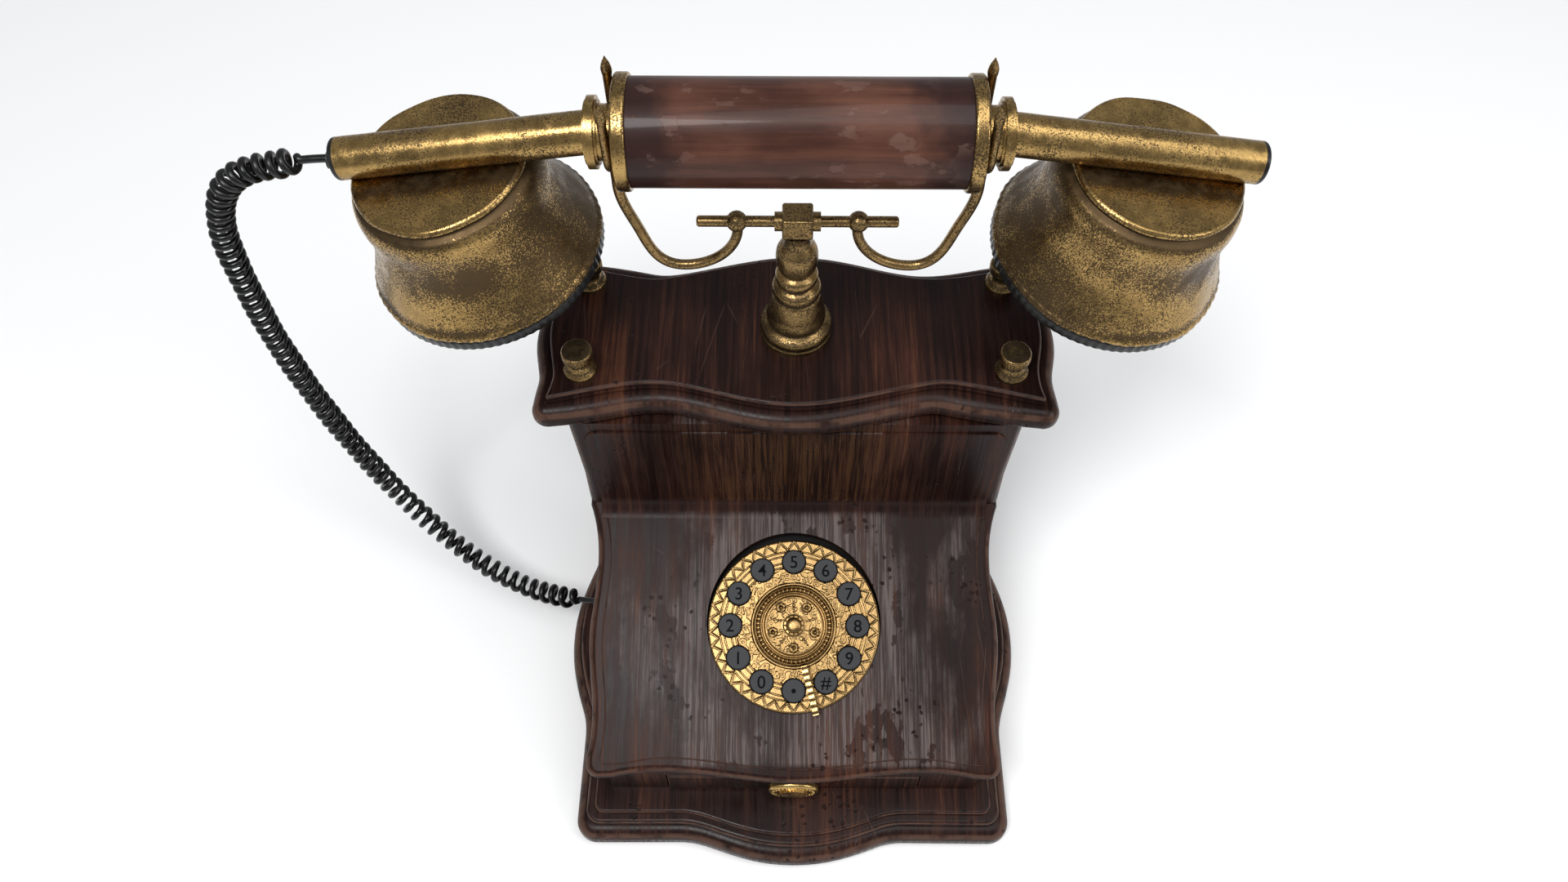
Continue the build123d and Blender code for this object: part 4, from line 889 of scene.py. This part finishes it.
cup_places = {}
for side, hand in (("left", -1), ("right", 1)):
    axis = Vector((
        hand * sin(LEAN_IN) * cos(LEAN_FRONT), -sin(LEAN_FRONT), cos(LEAN_IN) * cos(LEAN_FRONT),
    ))
    origin = Vector((hand * CUP_PLACE[0], CUP_PLACE[1], CUP_PLACE[2]))
    place = Matrix.Translation(origin) @ axis.to_track_quat("Z", "Y").to_matrix().to_4x4()
    cup_places[hand] = place
    data = lathe_data(cup_profile, place, CUP_SEGMENTS, beaten(hand))
    cup = add_mesh(f"beaten_cup_{side}", *data, aged_brass, "handset", cup_patina_and_shadow(hand, place))
    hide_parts(f"cup_{side}")
cap_pieces = [
    lathe_data(ear_profile, place, CAP_SEGMENTS, ribbed_cap) for place in cup_places.values()
]
caps = add_mesh("ribbed_ear_caps", *joined(cap_pieces), black_gloss, "handset")
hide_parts("ear_caps")

# --- dial: hub ornament, relief and digits ------------------------------------

HUB_STEP = 1.25
BEADS = 52
RELIEF_WIRE = 0.00026
CURL_WIRE = 0.00022
hub_profile = smooth_profile([
    (15.2, FACE), (15.2, FACE), (15.2, FACE + 0.9), (14.9, FACE + 1.5), (14.5, FACE + 1.8),
    (14.3, FACE + 1.5), (13.9, FACE + 1.1), (13.5, FACE + 1.0), (13.0, FACE + 1.1),
    (12.6, FACE + 1.5), (12.3, FACE + 1.6), (12.0, FACE + 1.3), (11.8, FACE + 0.9),
    (11.4, FACE + 0.9), (11.0, FACE + 1.2), (10.6, FACE + 1.4), (9.9, FACE + HUB_STEP),
    (6.0, FACE + HUB_STEP), (4.2, FACE + 1.3), (3.8, FACE + 1.7), (3.3, FACE + 1.8),
    (2.9, FACE + 1.9), (2.4, FACE + 2.5), (1.4, FACE + 2.85), (0.0, FACE + 2.9),
], 4)


def round_the_dial(radius, angle, height):
    """A point along the dial's own axes, in the unit it is given in."""
    return Vector((radius * cos(angle), radius * sin(angle), height))


hub_pieces = [lathe_data(hub_profile, dial_place, 120)]
for bead in range(BEADS):
    spot = round_the_dial(13.4, tau * bead / BEADS, FACE + 1.2)
    hub_pieces.append(bead_data(spot, 0.62, 0.9, dial_place))
for rosette in range(ROSETTES):
    angle = ROSETTE_START + tau * rosette / ROSETTES
    middle = round_the_dial(ROSETTE_CIRCLE, angle, FACE + HUB_STEP)
    hub_pieces.append(bead_data(middle, 0.62, 0.8, dial_place))
    for petal in range(9):
        offset = round_the_dial(1.85, tau * petal / 9, 0.0)
        hub_pieces.append(bead_data(middle + offset, 0.40, 0.7, dial_place))
    leaf = angle + tau / (2 * ROSETTES)
    for reach, size in ((5.2, 0.45), (6.3, 0.6), (7.6, 0.7), (8.9, 0.5)):
        spot = round_the_dial(reach, leaf, FACE + HUB_STEP)
        hub_pieces.append(bead_data(spot, size, 0.55, dial_place))
for spoke in range(12):
    spot = round_the_dial(3.3, tau * spoke / 12, FACE + 1.8)
    hub_pieces.append(bead_data(spot, 0.42, 0.8, dial_place))
hub = add_mesh("ornate_hub", *joined(hub_pieces), dial_brass, "base")
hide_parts("dial_hub")


def on_dial(radius, angle):
    """A point on the dial plate, from millimetres and an angle."""
    return dial_place @ (round_the_dial(radius, angle, FACE) * MM)


circle = BUTTON_CIRCLE / MM
relief_pieces = []
for ring in RING_RADII:
    clear = acos((ring**2 + circle**2 - WELL_RADIUS**2) / (2 * ring * circle))
    for gap in range(len(BUTTONS)):
        start = FIRST_BUTTON + BUTTON_STEP * gap + clear
        span = BUTTON_STEP - 2 * clear
        arc = [on_dial(ring, start + span * step / 8) for step in range(9)]
        relief_pieces.append(tube_data(arc, RELIEF_WIRE, 8))
zigzag = []
for tooth in range(RIM_TEETH + 1):
    zigzag.append(on_dial(29.1, tau * tooth / RIM_TEETH))
    zigzag.append(on_dial(31.8, tau * (tooth + 0.5) / RIM_TEETH))
relief_pieces.append(tube_data(zigzag, RELIEF_WIRE, 8))
for curl in range(24):
    angle = tau * curl / 24
    middle = round_the_dial(18.1, angle, FACE)
    spiral = []
    for step in range(25):
        turn = angle + (-1) ** curl * 2.4 * pi * step / 24
        reach = 1.45 * (1 - 0.8 * step / 24)
        spiral.append(dial_place @ ((middle + round_the_dial(reach, turn, 0)) * MM))
    relief_pieces.append(tube_data(spiral, CURL_WIRE, 6))
relief = add_mesh("dial_relief", *joined(relief_pieces), relief_brass, "base")

SIGNS = {"point": "•", "hash": "#"}
DIGIT_DROP = 0.0004
for index, name in enumerate(BUTTONS):
    angle = FIRST_BUTTON + BUTTON_STEP * index
    text = bpy.data.curves.new(f"digit_{name}", "FONT")
    text.body = SIGNS.get(name, name)
    text.offset = 0.04 * MM
    text.size = 6.6 * MM
    text.extrude = 0.03 * MM
    text.align_x = "CENTER"
    text.align_y = "CENTER"
    carrier = placed("carrier", text)
    evaluated = carrier.evaluated_get(bpy.context.evaluated_depsgraph_get())
    mesh = bpy.data.meshes.new_from_object(evaluated)
    bpy.data.objects.remove(carrier)
    mesh.materials.clear()
    mesh.materials.append(digit_ink)
    middle = round_the_dial(BUTTON_CIRCLE, angle, BUTTON_FACE) - Vector((0, DIGIT_DROP, 0))
    mesh.transform(dial_place @ Matrix.Translation(middle))
    digit = placed(f"digit_{name}", mesh)
    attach(digit, f"button_{name}")

# --- fork tips ----------------------------------------------------------------

TIP_X = 0.0548
TIP_SPREAD = 0.0099
TIP_HEIGHT = 0.1030
tip_profile = smooth_profile([
    (0.2, 0.0), (1.3, 0.4), (1.38, 2.0), (1.62, 3.6), (1.55, 5.0), (0.95, 7.0), (0.1, 8.5),
], 3)
for name, hand in (("left", -1), ("right", 1)):
    tip_pieces = []
    for reach in (-1, 1):
        root = (hand * TIP_X, LID_Y + reach * TIP_SPREAD, LID_TOP + TIP_HEIGHT)
        flat = Matrix.Translation(root) @ Matrix.Diagonal((1.0, 0.7, 1.0, 1.0))
        tip_pieces.append(lathe_data(tip_profile, flat, 16))
    tips = add_mesh(f"fork_tips_{name}", *joined(tip_pieces), dark_brass, "cradle")

# --- drawer knob ornament -----------------------------------------------------

knob_low, knob_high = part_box("drawer_knob")
knob_centre = [(low + high) / 2 for low, high in zip(knob_low, knob_high)]
knob_place = Matrix.Translation((knob_centre[0], knob_low[1] + 0.0009, knob_centre[2]))
knob_place = knob_place @ Matrix.Rotation(radians(90), 4, "X")
knob_pieces = []
for bead in range(30):
    angle = tau * bead / 30
    knob_pieces.append(bead_data((7.9 * cos(angle), 5.2 * sin(angle), 0.0), 0.55, 0.8, knob_place))
for petal in range(8):
    angle = tau * petal / 8
    knob_pieces.append(bead_data((2.3 * cos(angle), 1.5 * sin(angle), 0.3), 0.6, 0.8, knob_place))
knob_ornament = add_mesh("knob_ornament", *joined(knob_pieces), bright_brass, "drawer")

# --- finishes of the CAD pieces -----------------------------------------------

finishes = {
    mahogany: [
        "plinth", "side_left", "side_right", "back_board", "front_frame", "lid", "drawer_front",
        "drawer_tray",
    ],
    panel_mahogany: ["dial_panel", "riser_board"],
    grip_wood: ["grip"],
    aged_brass: ["tubes", "ferrule_left", "ferrule_right", "gongs", "clapper"],
    dark_brass: ["head_block", "cross_rod", "rod_nuts", "arm_left", "arm_right"],
    dial_brass: ["dial_plate"],
    bright_brass: ["drawer_knob"],
    stop_brass: ["finger_stop"],
    steel: ["base_screws", "hook_bracket", "hook_spring", "ringer_frame"],
    capsule_metal: ["capsules"],
    slate: [f"button_{name}" for name in BUTTONS],
    black_gloss: ["end_caps"],
    black_rubber: ["cord_gland", "cord_grommet"],
    black_matte: ["dial_body", "line_jack", "hook_switch", "drawer_runners"],
    felt: ["base_felt"],
    copper: ["ringer_coils"],
    circuit_green: ["circuit_board"],
}
for finish, names in finishes.items():
    for name in names:
        mesh = nodes[name].data
        mesh.materials.clear()
        mesh.materials.append(finish)

# --- floor and light ----------------------------------------------------------

bpy.ops.mesh.primitive_plane_add(size=6.0, location=(0, 0, 0))
floor = bpy.context.object
floor.name = "floor"
floor_paint = bpy.data.materials.new("floor_paint")
floor_paint.use_nodes = True
floor_inputs = floor_paint.node_tree.nodes["Principled BSDF"].inputs
floor_inputs["Base Color"].default_value = (0.9, 0.9, 0.9, 1)
floor_inputs["Roughness"].default_value = 0.9
floor.data.materials.append(floor_paint)

world = bpy.data.worlds.new("studio")
world.use_nodes = True
world_inputs = world.node_tree.nodes["Background"].inputs
world_inputs["Color"].default_value = (0.95, 0.97, 1.0, 1)
world_inputs["Strength"].default_value = 0.42
bpy.context.scene.world = world


LIGHT_TARGET = Vector((0, 0, 0.1))


def area_light(name, place, size, power):
    """A white rectangular light aimed at the telephone, in metres and watts."""
    data = bpy.data.lights.new(name, "AREA")
    data.shape = "RECTANGLE"
    data.size, data.size_y = size
    data.energy = power
    light = placed(name, data)
    light.location = place
    light.rotation_euler = (LIGHT_TARGET - Vector(place)).to_track_quat("-Z", "Y").to_euler()


area_light("key", (-0.35, -0.50, 1.35), (0.5, 0.5), 12.5)
area_light("overhead", (0.35, -0.15, 1.5), (0.9, 0.9), 7.5)
area_light("fill", (1.0, -0.4, 0.8), (0.5, 0.7), 4)
